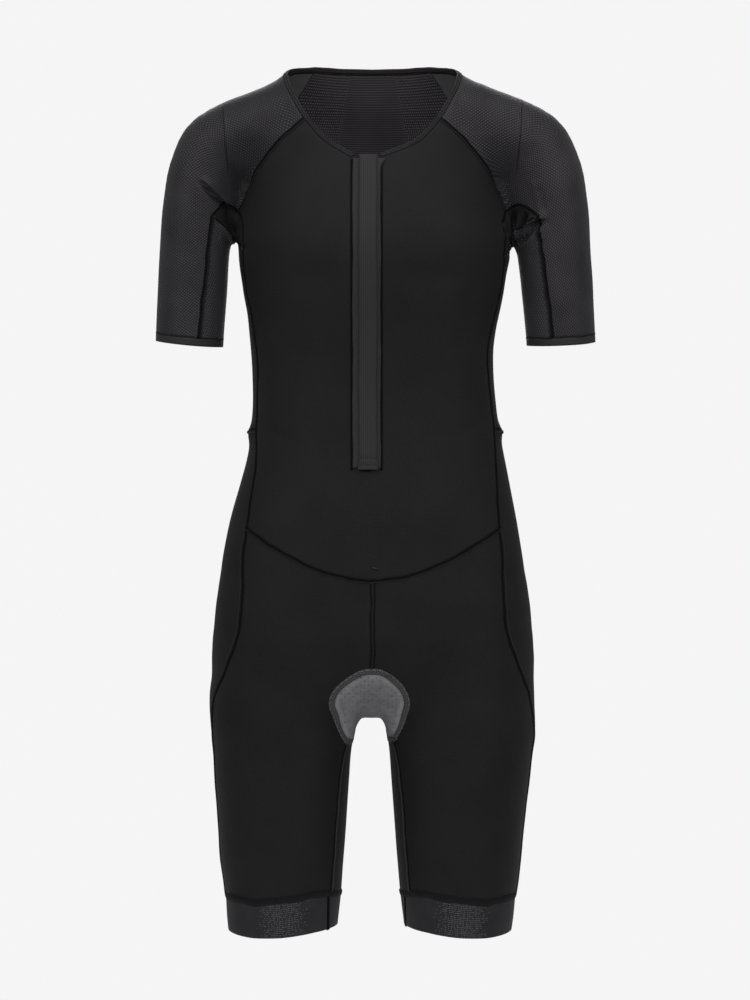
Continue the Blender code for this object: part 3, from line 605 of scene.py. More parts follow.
BACK_CREASES = [  # line as (x, z), width, height
    ([(-158, -34), (-155, -72), (-151, -112)], 2.6, 0.6),
    ([(161, -30), (158, -70), (153, -106)], 2.6, 0.7),
    ([(-176, -120), (-160, -136), (-148, -150)], 4.4, -2.4),
    ([(-170, -112), (-155, -128)], 3.6, 1.6),
    ([(-150, -138), (-147, -168)], 3.4, -1.6),
    ([(178, -126), (163, -142), (150, -156)], 4.2, -2.2),
    ([(171, -116), (157, -131)], 3.4, 1.5),
    ([(150, -140), (146, -170)], 3.2, -1.7),
    ([(-60, -330), (-20, -340), (30, -338), (66, -328)], 12, -1.2),
    ([(-84, -352), (-40, -362), (20, -361), (74, -350)], 9, -0.8),
    ([(-30, -60), (-6, -78), (20, -72)], 16, -0.9),
    ([(-66, -650), (-96, -664), (-128, -658)], 10, -1.4),
    ([(64, -648), (92, -661), (126, -656)], 10, -1.3),
]


print("creases in front and behind:", len(FRONT_CREASES), len(BACK_CREASES))


# %% The creases as lines on the form
def crease_lines():
    """Each crease as points on the form, in mm, with its width and height."""
    lines = []
    for creases, from_front in ((FRONT_CREASES, True), (BACK_CREASES, False)):
        for line, width, height in creases:
            curve = smooth_curve(line, max(4, int(way_along(np.array(line, float))[-1] / 6)))
            lines.append((cast(curve, from_front) / MM, width, height))
    for line, width, height in SIDE_SWELLS:
        lines.append((put_on_form(smooth_curve(line, 12) * MM) / MM, width, height))
    return lines


CREASE_LINES = crease_lines()
TUCK_LINES = [(cast(smooth_curve(line, 14)) / MM, *sizes) for line, *sizes in TUCKS]
DEEPEST_CREASE = -6.0
print("creases:", len(CREASE_LINES), "tucks:", len(TUCK_LINES))


# %% How the creases move the cloth
def nearest_on_line(line, there):
    """For each place: its gap to the line, its share of the way along, the nearest point and direction."""
    gap = np.full(len(there), 1e9)
    share = np.zeros(len(there))
    nearest, direction = there.copy(), np.zeros_like(there)
    place = way_along(line) / way_along(line)[-1]
    for start, end, first, last in zip(line, line[1:], place, place[1:]):
        run = end - start
        t = np.clip((there - start) @ run / (run @ run), 0, 1)
        point = start + t[:, None] * run
        distance = np.linalg.norm(there - point, axis=1)
        closer = distance < gap
        share = np.where(closer, first + t * (last - first), share)
        nearest[closer], direction[closer] = point[closer], run / np.linalg.norm(run)
        gap = np.minimum(distance, gap)
    return gap, share, nearest, direction


def near_line(line, p, reach):
    """The numbers of the places in the box round a line."""
    return np.flatnonzero(np.all((p > line.min(0) - reach) & (p < line.max(0) + reach), axis=1))


def crease_move(foot, normal):
    """How far, in metres, each place on the form is moved by the creases."""
    p = foot / MM
    x, y, z = p.T
    height = 0.22 * np.sin(x / 29 + 1.4 * np.sin(z / 43)) * np.sin(z / 37 + y / 51 + 0.8 * np.sin(x / 61))
    for line, width, rise in CREASE_LINES:
        near = near_line(line, p, 2.6 * width)
        if len(near):
            gap, share, _, _ = nearest_on_line(line, p[near])
            ends = np.clip(6 * share * (1 - share), 0, 1)
            height[near] += rise * hump(gap, 0, width) * ends
    height = np.maximum(height, DEEPEST_CREASE)
    shift = np.zeros_like(p)
    for line, width, rise, overhang in TUCK_LINES:
        near = near_line(line, p, 4 * width)
        if not len(near):
            continue
        gap, share, nearest, direction = nearest_on_line(line, p[near])
        down = np.cross(normal[near], direction)
        down *= np.sign((down @ np.array([0, -0.2, -1.0])))[:, None]
        past = ((p[near] - nearest) * down).sum(1) / width
        beyond_ends = np.abs(gap - np.abs(past) * width) / width
        ends = np.clip(6 * share * (1 - share), 0, 1)**0.7 * np.clip(1.6 - beyond_ends, 0, 1)
        above = rise * hump(past, 0, 1.9)
        below = rise * (hump(past, 0, 0.55) - hump(past, 1.25, 0.8))
        height[near] += np.where(past < 0, above, below) * ends
        shift[near] -= (overhang * hump(past, 0.65, 0.55) * ends)[:, None] * down
    return (normal * height[:, None] + shift) * MM


test_place = cast([(-153, -152)])
print("crease at the left armpit:", np.round(crease_move(test_place, outward(test_place))[0] / MM, 2), "mm")

# %% The worn outline
BODY_SIDES = np.array([  # z, then how far the left and the right outline move along x
    (-100, 0, 0), (-150, 2.4, 1.0), (-183, 2.9, 1.2), (-200, 1.8, 0.8), (-220, 0.5, 1.8), (-245, -0.1, 1.8),
    (-262, -1.2, 1.0), (-280, -1.4, 0.4), (-310, -0.5, 1.5), (-342, 1.4, 2.8), (-374, 2.4, 3.5),
    (-390, 3.3, 4.2), (-407, 3.0, 4.3), (-423, 1.8, 4.1), (-455, -0.8, 3.3), (-487, -1.9, 2.6),
    (-512, -1.9, 2.2), (-535, -0.3, 1.2), (-551, 1.4, -0.4), (-567, 3.0, -2.0), (-583, 4.2, -3.4),
    (-599, 3.8, -3.1), (-615, 1.6, -0.6), (-631, -0.3, 1.0), (-647, -2.2, 1.4), (-663, -2.4, 1.6),
    (-679, -1.8, 2.4), (-695, -1.0, 2.8), (-711, 0.2, 0.8), (-735, 0.1, -0.5), (-760, -0.2, -1.4),
    (-792, -0.8, -2.1), (-824, -1.1, -3.0), (-856, -1.7, -1.6), (-872, -2.6, -1.4), (-888, -3.6, -1.0),
    (-904, -3.8, -1.5)], float)
THIGH_INSIDES = np.array([  # z, then the left and the right one
    (-640, 0, 0), (-679, -1.3, -1.5), (-695, -1.5, -2.4), (-711, -2.6, -2.0), (-743, -2.0, -2.8),
    (-792, -1.6, -3.0), (-856, -1.2, -2.8), (-904, -0.2, -3.1)], float)
SLEEVE_SIDES = np.array([  # z, then left outer, left inner, right inner and right outer outline
    (12, 0, 0, 0, 2.0), (-5, 1.0, 1.0, 1.0, 3.6), (-12, 3.8, 2.4, 1.2, 2.8), (-25, 4.8, 3.0, 1.2, 3.4),
    (-37, 2.8, 3.0, 1.2, 4.5), (-50, 2.4, 2.4, 1.0, 4.3), (-63, 3.1, 2.4, 0.8, 3.2),
    (-76, 3.8, 2.4, 0.5, 2.7), (-93, 3.6, 2.4, 0.0, 3.0), (-132, 2.4, 2.4, -1.0, 3.8),
    (-183, 2.1, 2.4, -1.0, 3.5),
    (-209, 1.8, 2.9, 0.4, 4.5), (-240, 1.6, 2.7, 1.7, 4.7), (-275, 2.1, 2.3, 2.7, 5.0)], float)


def worn_outline(x, z):
    """How far along x each place moves, so that the two sides of the suit differ as they do when it hangs."""
    reach, right = np.abs(x), x > 0
    left_side, right_side = read_table(BODY_SIDES, z).T
    left_inside, right_inside = read_table(THIGH_INSIDES, z).T
    inside = np.where(right, right_inside, left_inside)
    side = np.where(right, right_side, left_side)
    body = inside + (side - inside) * fade(reach, 30, 125)
    between = left_inside + (right_inside - left_inside) * fade(x, -12, 12)
    body = np.where(reach < 12, between, body)
    left_out, left_in, right_in, right_out = read_table(SLEEVE_SIDES, z).T
    sleeve_in, sleeve_out = np.where(right, right_in, left_in), np.where(right, right_out, left_out)
    sleeve = sleeve_in + (sleeve_out - sleeve_in) * fade(reach, 150, 215)
    soft = np.interp(-z, [130, 180], [70, 6])
    on_sleeve = np.clip((reach - 150) / soft + 0.5, 0, 1) * (z > -320)
    return body + (sleeve - body) * on_sleeve


waist_moves = worn_outline(np.array([-128.0, 128.0]), np.array([-337.0, -337.0]))
print("the waist's sides move by", np.round(waist_moves, 1), "mm")

# %% Hems and neck
# How far the neck rises, by the distance from its middle; the shoulders, by x; and the cuffs and hems of the
# legs, by the share of the way from the outer to the inner side.
NECK_RISE = np.array([(0, 1.6), (39, 1.8), (54, 2.5), (63, 3.2), (74, 4.7), (80, 4.6), (86, 2.6), (93, 0)]).T
SHOULDER_RISE = np.array([
    (-190, 0), (-171, -0.8), (-142, -1.4), (-125, -0.6), (-111, 0), (-99, -0.7), (-92, -1.5), (-84, 0),
    (84, 0), (91, -1.5), (97, 0), (104, 1.6), (117, 3.0), (131, 1.8), (149, 0.8), (195, 1.0), (212, 0)]).T
CUFF_RISE = np.array([
    (0, 3.4), (0.25, 1.6), (0.4, 3.0), (0.52, 4.4), (0.65, 6.6), (0.78, 9.4), (0.9, 8.6), (1, 6)]).T
LEG_HEM_RISE = np.array([(0, 1.0), (0.25, 0), (0.5, 1.2), (0.65, 2.6), (0.8, 3.6), (1, 3.2)]).T


def settle(places):
    """Last small moves: the hems and the neck rise and dip unevenly, and the outline is the worn one."""
    x, y, z = (places / MM).T
    reach = np.abs(x)
    sleeve = (reach > 145) * (z > -300)
    hem = fade(z, -190, -270)**2 * sleeve
    rise = hem * 5.5 * fade(y, -45, 45)
    rise -= hem * np.where(x > 0, 0.6 + 3.2 * fade(reach, 155, 220), 2.5)
    rise += fade(z, -862, -902) * (8.0 * fade(reach, 94, 0)**1.5 - 3.2 * fade(y, 0, -60))
    inward = fade(reach, 151, 37)
    in_front = 0.4 + 0.6 * fade(y, 20, -30)
    below_cuff = fade(z, -868, -902)
    cuff = fade(z, -815, -865) * (1 - below_cuff) * np.interp(inward, *CUFF_RISE)
    rise += in_front * (cuff + below_cuff * np.interp(inward, *LEG_HEM_RISE))
    rise += np.interp(reach, *NECK_RISE) * fade(y, -10, 12) * fade(z, -22, 8)
    rise += np.interp(x, *SHOULDER_RISE) * fade(z, -62, -28)
    return places + np.column_stack([worn_outline(x, z), 0 * x, rise]) * MM


def lay(points, lift=0.0):
    """Places (metres) laid on the creased cloth, or this far above it."""
    foot = put_on_form(points, 3)
    normal = outward(foot)
    return settle(foot + crease_move(foot, normal) + normal * np.reshape(lift, (-1, 1)))


print("the shoulder's place on the cloth:", np.round(lay(cast([(-120, -20)]))[0] / MM, 1), "mm")

# %% [markdown]
# ## Knits, threads and foam
# Every cloth here is knitted or woven, so its materials start from one shared effect: rows of thread. A group
# makes such rows at any pitch and any turn, and two sets of rows laid across each other make a mesh. The
# pattern follows each panel, because it reads the panel's own cloth coordinates: metres round it and metres
# along it. Colours stay nearly black and differ by little, so gloss, sheen and relief tell the cloths apart.

# %% Small helpers for shader nodes
def add_node(tree, kind, **settings):
    node = tree.nodes.new("ShaderNode" + kind)
    for setting, value in settings.items():
        setattr(node, setting, value)
    return node


class Value:
    """What a shader node puts out. Sums that are written with values become Math nodes."""

    def __init__(self, tree, socket):
        self.tree, self.socket = tree, socket

    def __add__(self, other):
        return calculate("ADD", self, other)

    def __sub__(self, other):
        return calculate("SUBTRACT", self, other)

    def __mul__(self, other):
        return calculate("MULTIPLY", self, other)

    def __truediv__(self, other):
        return calculate("DIVIDE", self, other)

    def __rtruediv__(self, other):
        return calculate("DIVIDE", other, self)

    def __abs__(self):
        return calculate("ABSOLUTE", self)


def calculate(operation, *values):
    """A Math node. At least one of its inputs is a Value, and the others may be plain numbers."""
    tree = next(value.tree for value in values if isinstance(value, Value))
    node = add_node(tree, "Math", operation=operation)
    for socket, value in zip(node.inputs, values):
        feed(socket, value)
    return Value(tree, node.outputs[0])


def feed(socket, value):
    """A node's input gets a link or a plain number or colour."""
    if isinstance(value, Value):
        value.tree.links.new(value.socket, socket)
    else:
        socket.default_value = value


print("sums with values:", "+ - * / and abs()")


# %% Helpers that add one node
def node_value(tree, kind, output, inputs, **settings):
    """Adds a node with these inputs and settings, and gives one of its outputs."""
    node = add_node(tree, kind, **settings)
    for label, value in inputs.items():
        feed(node.inputs[label], value)
    return Value(tree, node.outputs[output])


def axes_of(place):
    """The x, y and z of coordinates."""
    node = add_node(place.tree, "SeparateXYZ")
    feed(node.inputs[0], place)
    return [Value(place.tree, node.outputs[axis]) for axis in "XYZ"]


def smooth_step(value, start, end, least=0.0, most=1.0):
    """Runs smoothly from least to most while the value runs from start to end."""
    inputs = {"Value": value, "From Min": start, "From Max": end, "To Min": least, "To Max": most}
    return node_value(value.tree, "MapRange", "Result", inputs, interpolation_type="SMOOTHSTEP")


def object_coordinates(tree):
    return node_value(tree, "TexCoord", "Object", {})


def cloth_coordinates(tree):
    return node_value(tree, "Attribute", "Vector", {}, attribute_name="cloth")


def tone_given(tree):
    return node_value(tree, "Attribute", "Fac", {}, attribute_name="tone")


print("patterns can follow:", "the object, the cloth or a given tone")


# %% Group: rows of thread
def new_group(name, inputs, outputs):
    """A node group with a vector input, then number inputs with their usual values."""
    group = bpy.data.node_groups.new(name, "ShaderNodeTree")
    group.interface.new_socket("Coordinates", in_out="INPUT", socket_type="NodeSocketVector")
    for label, usual in inputs.items():
        group.interface.new_socket(label, in_out="INPUT", socket_type="NodeSocketFloat").default_value = usual
    for label in outputs:
        group.interface.new_socket(label, in_out="OUTPUT", socket_type="NodeSocketFloat")
    sockets = group.nodes.new("NodeGroupInput").outputs
    given = [Value(group, sockets[label]) for label in ("Coordinates", *inputs)]
    return group, given, group.nodes.new("NodeGroupOutput").inputs


rows_group, (place, pitch, turn), made = new_group("thread_rows", {"Pitch": 0.002, "Turn": 0.0}, ["Rows"])
across, along, _ = axes_of(place)
way = (across * calculate("COSINE", turn) + along * calculate("SINE", turn)) / pitch
feed(made["Rows"], calculate("SINE", way * (2 * math.pi)) * 0.5 + 0.5)


def rows_of(place, pitch, turn):
    inputs = {"Coordinates": place, "Pitch": pitch, "Turn": turn}
    return node_value(place.tree, "Group", "Rows", inputs, node_tree=rows_group)


def thread_rows(place, pitch, degrees):
    return rows_of(place, pitch, math.radians(degrees))


print("thread_rows:", len(rows_group.nodes), "nodes")

# %% Group: two sets of rows across each other, with the spots where they cross
mesh_group, (place, pitch, turn, crossing, sharpness), made = new_group(
    "crossed_rows", {"Pitch": 0.0024, "Turn": 0.0, "Crossing": 1.2, "Sharpness": 3.0}, ["Rows", "Spots"])
rows = rows_of(place, pitch, turn)
feed(made["Rows"], rows)
feed(made["Spots"], calculate("POWER", rows * rows_of(place, pitch, turn + crossing), sharpness))


def crossed_rows(place, pitch, degrees, crossing=70, sharpness=3.0):
    """The rows of one set, and the spots."""
    inputs = {"Coordinates": place, "Pitch": pitch, "Turn": math.radians(degrees),
              "Crossing": math.radians(crossing), "Sharpness": sharpness}
    spots = node_value(place.tree, "Group", "Spots", inputs, node_tree=mesh_group)
    return Value(place.tree, spots.socket.node.outputs["Rows"]), spots


print("crossed_rows:", len(mesh_group.nodes), "nodes")

# %% Group: soft blotches, as where cloth is pressed or handled
blotch_group, (place, size), made = new_group("soft_blotches", {"Size": 0.03}, ["Blotches"])
inputs = {"Vector": place, "Scale": 1.0 / size, "Detail": 3.0}
feed(made["Blotches"], node_value(blotch_group, "TexNoise", "Fac", inputs))


def soft_blotches(tree, size):
    inputs = {"Coordinates": object_coordinates(tree), "Size": size}
    return node_value(tree, "Group", "Blotches", inputs, node_tree=blotch_group)


print("soft_blotches:", len(blotch_group.nodes), "nodes")

# %% A cloth material's shader, to which each cloth adds its own pattern
SHEEN_ROUGHNESS = 0.5


def start_material(name, roughness, specular=0.5, sheen=0.0, metallic=0.0):
    material = bpy.data.materials.new(name)
    material.use_nodes = True
    tree = material.node_tree
    shader = tree.nodes["Principled BSDF"]
    for label, value in (("Roughness", roughness), ("Specular IOR Level", specular), ("Sheen Weight", sheen),
                         ("Sheen Roughness", SHEEN_ROUGHNESS), ("Metallic", metallic)):
        shader.inputs[label].default_value = value
    return material, tree, shader


def colour_between(shader, dark, light, share, clamped=True):
    """Base Color runs from dark to light with the share."""
    inputs = {"Factor": share, "A": (*dark, 1), "B": (*light, 1)}
    feed(shader.inputs["Base Color"],
         node_value(share.tree, "Mix", "Result", inputs, data_type="RGBA", clamp_factor=clamped))


def raise_relief(shader, height, distance):
    inputs = {"Distance": distance, "Height": height}
    feed(shader.inputs["Normal"], node_value(height.tree, "Bump", "Normal", inputs))


print("a new material has", len(floor_material.node_tree.nodes), "nodes")

# %% Smooth knit: the front, the sides and the legs
smooth_cloth, tree, shader = start_material("smooth_cloth", 0.62, 0.09, 0.012)
courses = thread_rows(cloth_coordinates(tree), 0.0021, 90)
_, stitches = crossed_rows(cloth_coordinates(tree), 0.0016, 62, 56, 1.0)
tone = stitches * 0.20 + soft_blotches(tree, 0.05) * 0.78 + courses * 0.06
colour_between(shader, (0.0052, 0.0052, 0.0054), (0.0110, 0.0110, 0.0113), tone)
raise_relief(shader, stitches * 1.2 + courses * 0.5, 0.00007)
print("smooth_cloth:", len(tree.nodes), "nodes")


# %% What only the sleeves have
def shoulder_crease(tree):
    """1 on the thin pressed crease that runs down from the top of each shoulder in front."""
    x, y, z = axes_of(object_coordinates(tree))
    off = abs(abs(x) - (z * 0.086 + 0.161))
    return smooth_step(off, 0.0013, 0.0003) * smooth_step(z, -0.105, -0.080) * smooth_step(y, 0.0, -0.006)


def sleeve_tone(tree, beside_neck, highlight_on_round):
    """The sleeve's tone: dull beside the neck, with a painted highlight on the round of the shoulder."""
    x, _, z = axes_of(object_coordinates(tree))
    # painted highlight where light falls on the round of the shoulder
    painted_shoulder_highlight = smooth_step(abs(x), 0.168, 0.192, 0.0, highlight_on_round) * smooth_step(z, -0.170, -0.105)
    return painted_shoulder_highlight + smooth_step(abs(x), 0.135, 0.162, beside_neck, 1.0)


print("the sleeves get a pressed crease and tones of their own")


# %% Open knit: the sleeves, the strips under them and the back
def open_knit(name, turn, pitch, dark, light, ribs=None, crossing=66, sleeve=None):
    """A mesh knit with rows at this turn. Ribs is the half width of a ribbed middle, and sleeve holds the
    tone that a sleeve has beside the neck and the strength of its painted highlight on the round of the
    shoulder."""
    material, tree, shader = start_material(name, 0.55, 0.12, 0.03)
    place = cloth_coordinates(tree)
    rows, spots = crossed_rows(place, pitch, turn, crossing, 3.0 if sleeve else 2.2)
    blotches = soft_blotches(tree, 0.035)
    if sleeve:
        crease = shoulder_crease(tree)
        pattern = (spots * 1.25 + rows * 0.14) * (blotches * 1.3 + 0.35)
        # the crease is painted into the colour as a thin line of shade, and dented into the relief
        share = (blotches * 0.20 + pattern * 1.05) * sleeve_tone(tree, *sleeve) - crease * 0.5
        pattern = pattern - crease * 2.5
    else:
        pattern = spots * 0.75 + rows * 0.35
        if ribs:
            outside = smooth_step(abs(axes_of(place)[0]), ribs - 0.004, ribs + 0.004)
            inputs = {"Factor": outside, "A": thread_rows(place, 0.0024, 90) * 0.42, "B": spots * 2.8}
            pattern = node_value(tree, "Mix", "Result", inputs, data_type="FLOAT")
        share = blotches * 0.20 + pattern * 0.86
    colour_between(shader, dark, light, share)
    raise_relief(shader, pattern, 0.00010)
    return material


sleeve_knit, under_knit = {}, {}
# each pair: the sleeve's tone beside the neck, and the strength of its painted shoulder highlight
for side, sign, light, tones in (("left", 1, (0.0500, 0.0464, 0.0526), (0.62, 0.10)),
                                 ("right", -1, (0.0528, 0.0490, 0.0556), (0.86, 0.34))):
    sleeve_knit[side] = open_knit(f"sleeve_knit_{side}", sign * 48, 0.0025, (0.0042, 0.0039, 0.0045), light,
                                  sleeve=tones)
    under_knit[side] = open_knit(f"under_knit_{side}", sign * 30, 0.0030, (0.0090, 0.0085, 0.0094),
                                 (0.0580, 0.0540, 0.0610))
back_knit = open_knit("back_knit", 0, 0.0027, (0.0135, 0.0124, 0.0140), (0.092, 0.085, 0.094), 0.048, 90)
print("open knits:", [knit.name for knit in (*sleeve_knit.values(), *under_knit.values(), back_knit)])

# %% The sleeves' other side, which shows inside the back neck, with painted light near the neck
sleeve_inside, tree, shader = start_material("sleeve_inside", 0.62, 0.10, 0.02)
_, spots = crossed_rows(cloth_coordinates(tree), 0.0025, 48, 66, 2.2)
# painted light: the inside is lighter near the neck, where it lies in shade
painted_light_near_neck = smooth_step(abs(axes_of(object_coordinates(tree))[0]), 0.140, 0.105)
colour_between(shader, (0.012, 0.0115, 0.0124), (0.080, 0.079, 0.082), spots * 0.12 + painted_light_near_neck * 0.85)
print("sleeve_inside:", len(tree.nodes), "nodes")

# %% Band knits
band_cloth, tree, shader = start_material("band_cloth", 0.66, 0.10, 0.02)
ribs = thread_rows(cloth_coordinates(tree), 0.0022, 0)
colour_between(shader, (0.0152, 0.0149, 0.0156), (0.0255, 0.0251, 0.0261), ribs)
raise_relief(shader, ribs, 0.00008)

binding_knit, tree, shader = start_material("binding_knit", 0.66, 0.08, 0.02)
_, fuzz = crossed_rows(cloth_coordinates(tree), 0.0018, 30, 60, 1.0)
# painted light: the binding is lighter at the back, where its inner face lies in shade
behind = calculate("GREATER_THAN", axes_of(object_coordinates(tree))[1], 0.012)
colour_between(shader, (0.0066, 0.0065, 0.0069), (0.0160, 0.0158, 0.0165), fuzz + behind * 0.8, clamped=False)
raise_relief(shader, fuzz, 0.00008)
print("band knits:", band_cloth.name, binding_knit.name)

# %% The gripper bands: a ribbed knit with pale specks of silicone, denser in the middle
gripper_knit, tree, shader = start_material("gripper_knit", 0.60, 0.10, 0.02)
place = cloth_coordinates(tree)
ribs = thread_rows(place, 0.0026, 90)
_, specks = crossed_rows(place, 0.0018, 0, 90, 3.0)
picks = node_value(tree, "TexVoronoi", "Color", {"Vector": place, "Scale": 640}, feature="F1")
off_leg_middle = abs(abs(axes_of(object_coordinates(tree))[0]) - 0.094)
picked = calculate("LESS_THAN", picks, smooth_step(off_leg_middle, 0.010, 0.036, 0.66, 0.0))
speckled = specks * picked
tone = speckled * 0.9 + ribs * 0.003 + soft_blotches(tree, 0.02) * 0.06
colour_between(shader, (0.0102, 0.0094, 0.0110), (0.190, 0.186, 0.196), tone)
raise_relief(shader, speckled * 4.0 + ribs * 0.3, 0.00005)
print("gripper_knit:", len(tree.nodes), "nodes")

# %% Sewing: one material for all seams. Its tone runs from painted shade at the join over the cloth to the pale thread
sewing, tree, shader = start_material("sewing", 0.75, 0.06, 0.01)
loops = thread_rows(cloth_coordinates(tree), 0.0022, 72)
ramp = add_node(tree, "ValToRGB")
# tone 0: painted shade in the groove where the panels meet
ramp.color_ramp.elements[0].color = (0.0012, 0.0012, 0.0013, 1)
ramp.color_ramp.elements[1].color = (0.085, 0.085, 0.088, 1)
cloth_tone = ramp.color_ramp.elements.new(0.5)
cloth_tone.color = (0.0125, 0.0124, 0.0130, 1)
feed(ramp.inputs["Fac"], tone_given(tree) * (loops * 0.30 + 0.78))
feed(shader.inputs["Base Color"], Value(tree, ramp.outputs["Color"]))
raise_relief(shader, loops, 0.00025)
print("sewing:", len(tree.nodes), "nodes")

# %% Zip tape, coil and metal
zip_weave, tree, shader = start_material("zip_weave", 0.72, 0.12, 0.02)
_, knots = crossed_rows(cloth_coordinates(tree), 0.0016, 45, 90, 1.0)
colour_between(shader, (0.014, 0.014, 0.0146), (0.034, 0.034, 0.0355), knots)
raise_relief(shader, knots, 0.00015)

coil_nylon, tree, shader = start_material("coil_nylon", 0.38)
lengthways = node_value(tree, "Mapping", "Vector", {"Vector": object_coordinates(tree),
                                                    "Rotation": (math.radians(90), 0, 0)})
turns = thread_rows(lengthways, 0.0014, 90)
colour_between(shader, (0.006, 0.006, 0.0065), (0.030, 0.030, 0.031), turns)
raise_relief(shader, turns, 0.0004)

dark_metal, tree, shader = start_material("dark_metal", 0.34, metallic=0.9)
wear = soft_blotches(tree, 0.004)
colour_between(shader, (0.035, 0.035, 0.037), (0.11, 0.11, 0.112), wear)
raise_relief(shader, wear, 0.00008)
print("zip:", zip_weave.name, coil_nylon.name, dark_metal.name)

# %% Pad foam and its border
pad_cloth, tree, shader = start_material("pad_cloth", 0.85, 0.12, 0.04)
place = cloth_coordinates(tree)
_, fuzz = crossed_rows(place, 0.0017, 30, 70, 1.0)
_, pricks = crossed_rows(place, 0.0058, 45, 90, 6.0)
pricks = pricks * calculate("MAXIMUM", soft_blotches(tree, 0.016) * 4.6 - 1.8, 0.0)
# the pricked holes get painted shade in the colour, and are dented into the relief
tone = soft_blotches(tree, 0.03) * 0.5 + fuzz * 0.35 - pricks * 0.70
# the given tone adds painted light: a highlight ring inside the rim and lighter cloth between the legs
tone = (soft_blotches(tree, 0.007) - 0.5) * 0.9 + tone + tone_given(tree)
colour_between(shader, (0.086, 0.086, 0.092), (0.198, 0.197, 0.209), tone)
raise_relief(shader, fuzz - pricks * 3.0, 0.0002)

pad_edge, tree, shader = start_material("pad_edge", 0.80, 0.12, 0.04)
place = cloth_coordinates(tree)
_, fuzz = crossed_rows(place, 0.0020, 20, 70, 1.0)
across, along, _ = axes_of(place)
swing = calculate("PINGPONG", along, 0.0017) * 1.7 + 0.0008
zigzag = calculate("LESS_THAN", abs(across - swing), 0.00042)
# the given tone brings a painted highlight at the border's inner edge and pale thread at its outer edge
rim_thread_and_highlight = (tone_given(tree) - 0.5) * (fuzz * 2.2 + 0.3)
colour_between(shader, (0.022, 0.022, 0.023), (0.175, 0.175, 0.179), fuzz * 0.24 + zigzag * 0.36 + rim_thread_and_highlight)
raise_relief(shader, fuzz + zigzag, 0.00025)
print("materials:", sorted(material.name for material in bpy.data.materials))

# %% [markdown]
# ## The cloth panels
# Each panel is its finely divided skin, laid on the creased form and given the thickness of knitted cloth.
# Solidify works inwards, so the outer face stays where the solid has it. Each skin carries its own cloth
# coordinates, so that a knit runs round and along the panel and doesn't slide over it.

# %% Cloth coordinates
SEAT_CENTRE_Z, SEAT_RADIUS = -590.0, 90.0
TRUNK_RADIUS, ARM_RADIUS, LEG_RADIUS = 112, 44, 74
LEG_CENTRE_X = 94
RING_SEAM_TURN = 52          # degrees; a gripper's coordinates start at its own seam, at the inner leg
SAY_SOFTNESS, FARTHEST = 0.8, 60
BEFORE_SHOULDER = -8         # the arm's first piece of axis is drawn out towards the neck, this many times


def round_arm(p):
    """How far along the arm and how far round it each place is. Near parts of its bent axis share the say."""
    x, y, z = p[:, 0], (p[:, 1] - ARM_Y) / ARM_DEPTH, p[:, 2]
    total, along_sum, side_sum = 1e-30, 0.0, 0.0
    least = np.minimum(arm_distance(p), FARTHEST)
    for number, (start, end) in enumerate(zip(ARM_AXIS, ARM_AXIS[1:])):
        run_x, run_z, widening = end - start
        length = math.hypot(run_x, run_z)
        t, off_x, off_z = along_segment(x, z, start, end, 0 if number else BEFORE_SHOULDER)
        gap = np.sqrt(off_x**2 + y**2 + off_z**2) - (start[2] + t * widening)
        say = np.exp(-(gap - least) / SAY_SOFTNESS)
        total = total + say
        along_sum = along_sum + say * (ARM_PLACES[number] + t * length)
        side_sum = side_sum + say * (off_x * run_z - off_z * run_x) / length
    return along_sum / total, np.arctan2(y, side_sum / total)


hem_along, _ = round_arm(np.array([[-198.0, ARM_Y, -276.0]]))
print("the sleeves end", round(float(hem_along[0])), "mm along the arm")


# %% Coordinates on each kind of piece
def coordinates_on(points, node):
    """Metres round and metres along the piece that covers this node."""
    p = points / MM
    x, y, z = p.T
    if "sleeve" in node:
        side = -1 if node.endswith("left") else 1
        along, turn = round_arm(np.column_stack([-np.abs(x), y, z]))
        if "under" in node:
            turn = turn % (2 * math.pi)
        return np.column_stack([side * turn * ARM_RADIUS, along]) * MM
    if "pad" in node:
        return np.column_stack([x, SEAT_RADIUS * np.arctan2(y, SEAT_CENTRE_Z - z)]) * MM
    if "leg" in node:
        centre = -LEG_CENTRE_X if node.endswith("left") else LEG_CENTRE_X
        turn = np.arctan2(x - centre, y if "back" in node else -y)
        if "gripper" in node:
            inner_seam = math.radians(-RING_SEAM_TURN if centre > 0 else RING_SEAM_TURN)
            turn = (turn - inner_seam) % (2 * math.pi)
        return np.column_stack([LEG_RADIUS * turn, z]) * MM
    return np.column_stack([TRUNK_RADIUS * np.arctan2(x, y if "back" in node else -y), z]) * MM


front_size = np.ptp(coordinates_on(skins["front_panel"][1], "front_panel"), axis=0)
print("front panel:", np.round(front_size, 2), "m round and along")


# %% From a bmesh to a finished piece
def finish_piece(name, bm, material, slot, thickness=0.0, lining=None, **values):
    """Makes an object of a bmesh, with its values as attributes, and gives it its cloth thickness."""
    mesh = bpy.data.meshes.new(name)
    bm.to_mesh(mesh)
    bm.free()
    for label, value in values.items():
        kind, field = ("FLOAT_VECTOR", "vector") if value.ndim == 2 else ("FLOAT", "value")
        full = np.column_stack([value, np.zeros(len(value))]) if value.ndim == 2 else value
        mesh.attributes.new(label, kind, "POINT").data.foreach_set(field, full.astype(np.float32).ravel())
    mesh.shade_smooth()
    mesh.materials.append(material)
    if lining:
        mesh.materials.append(lining)
    piece = bpy.data.objects.new(name, mesh)
    bpy.context.scene.collection.objects.link(piece)
    if thickness:
        wall = piece.modifiers.new("wall", "SOLIDIFY")
        wall.thickness = thickness
        wall.offset = -1
        wall.material_offset = 1 if lining else 0
        wall.use_even_offset = False
    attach(piece, "root")
    return piece


def place_all(verts, points):
    for vert, place in zip(verts, points):
        vert.co = place


print("materials ready for pieces:", len(bpy.data.materials))

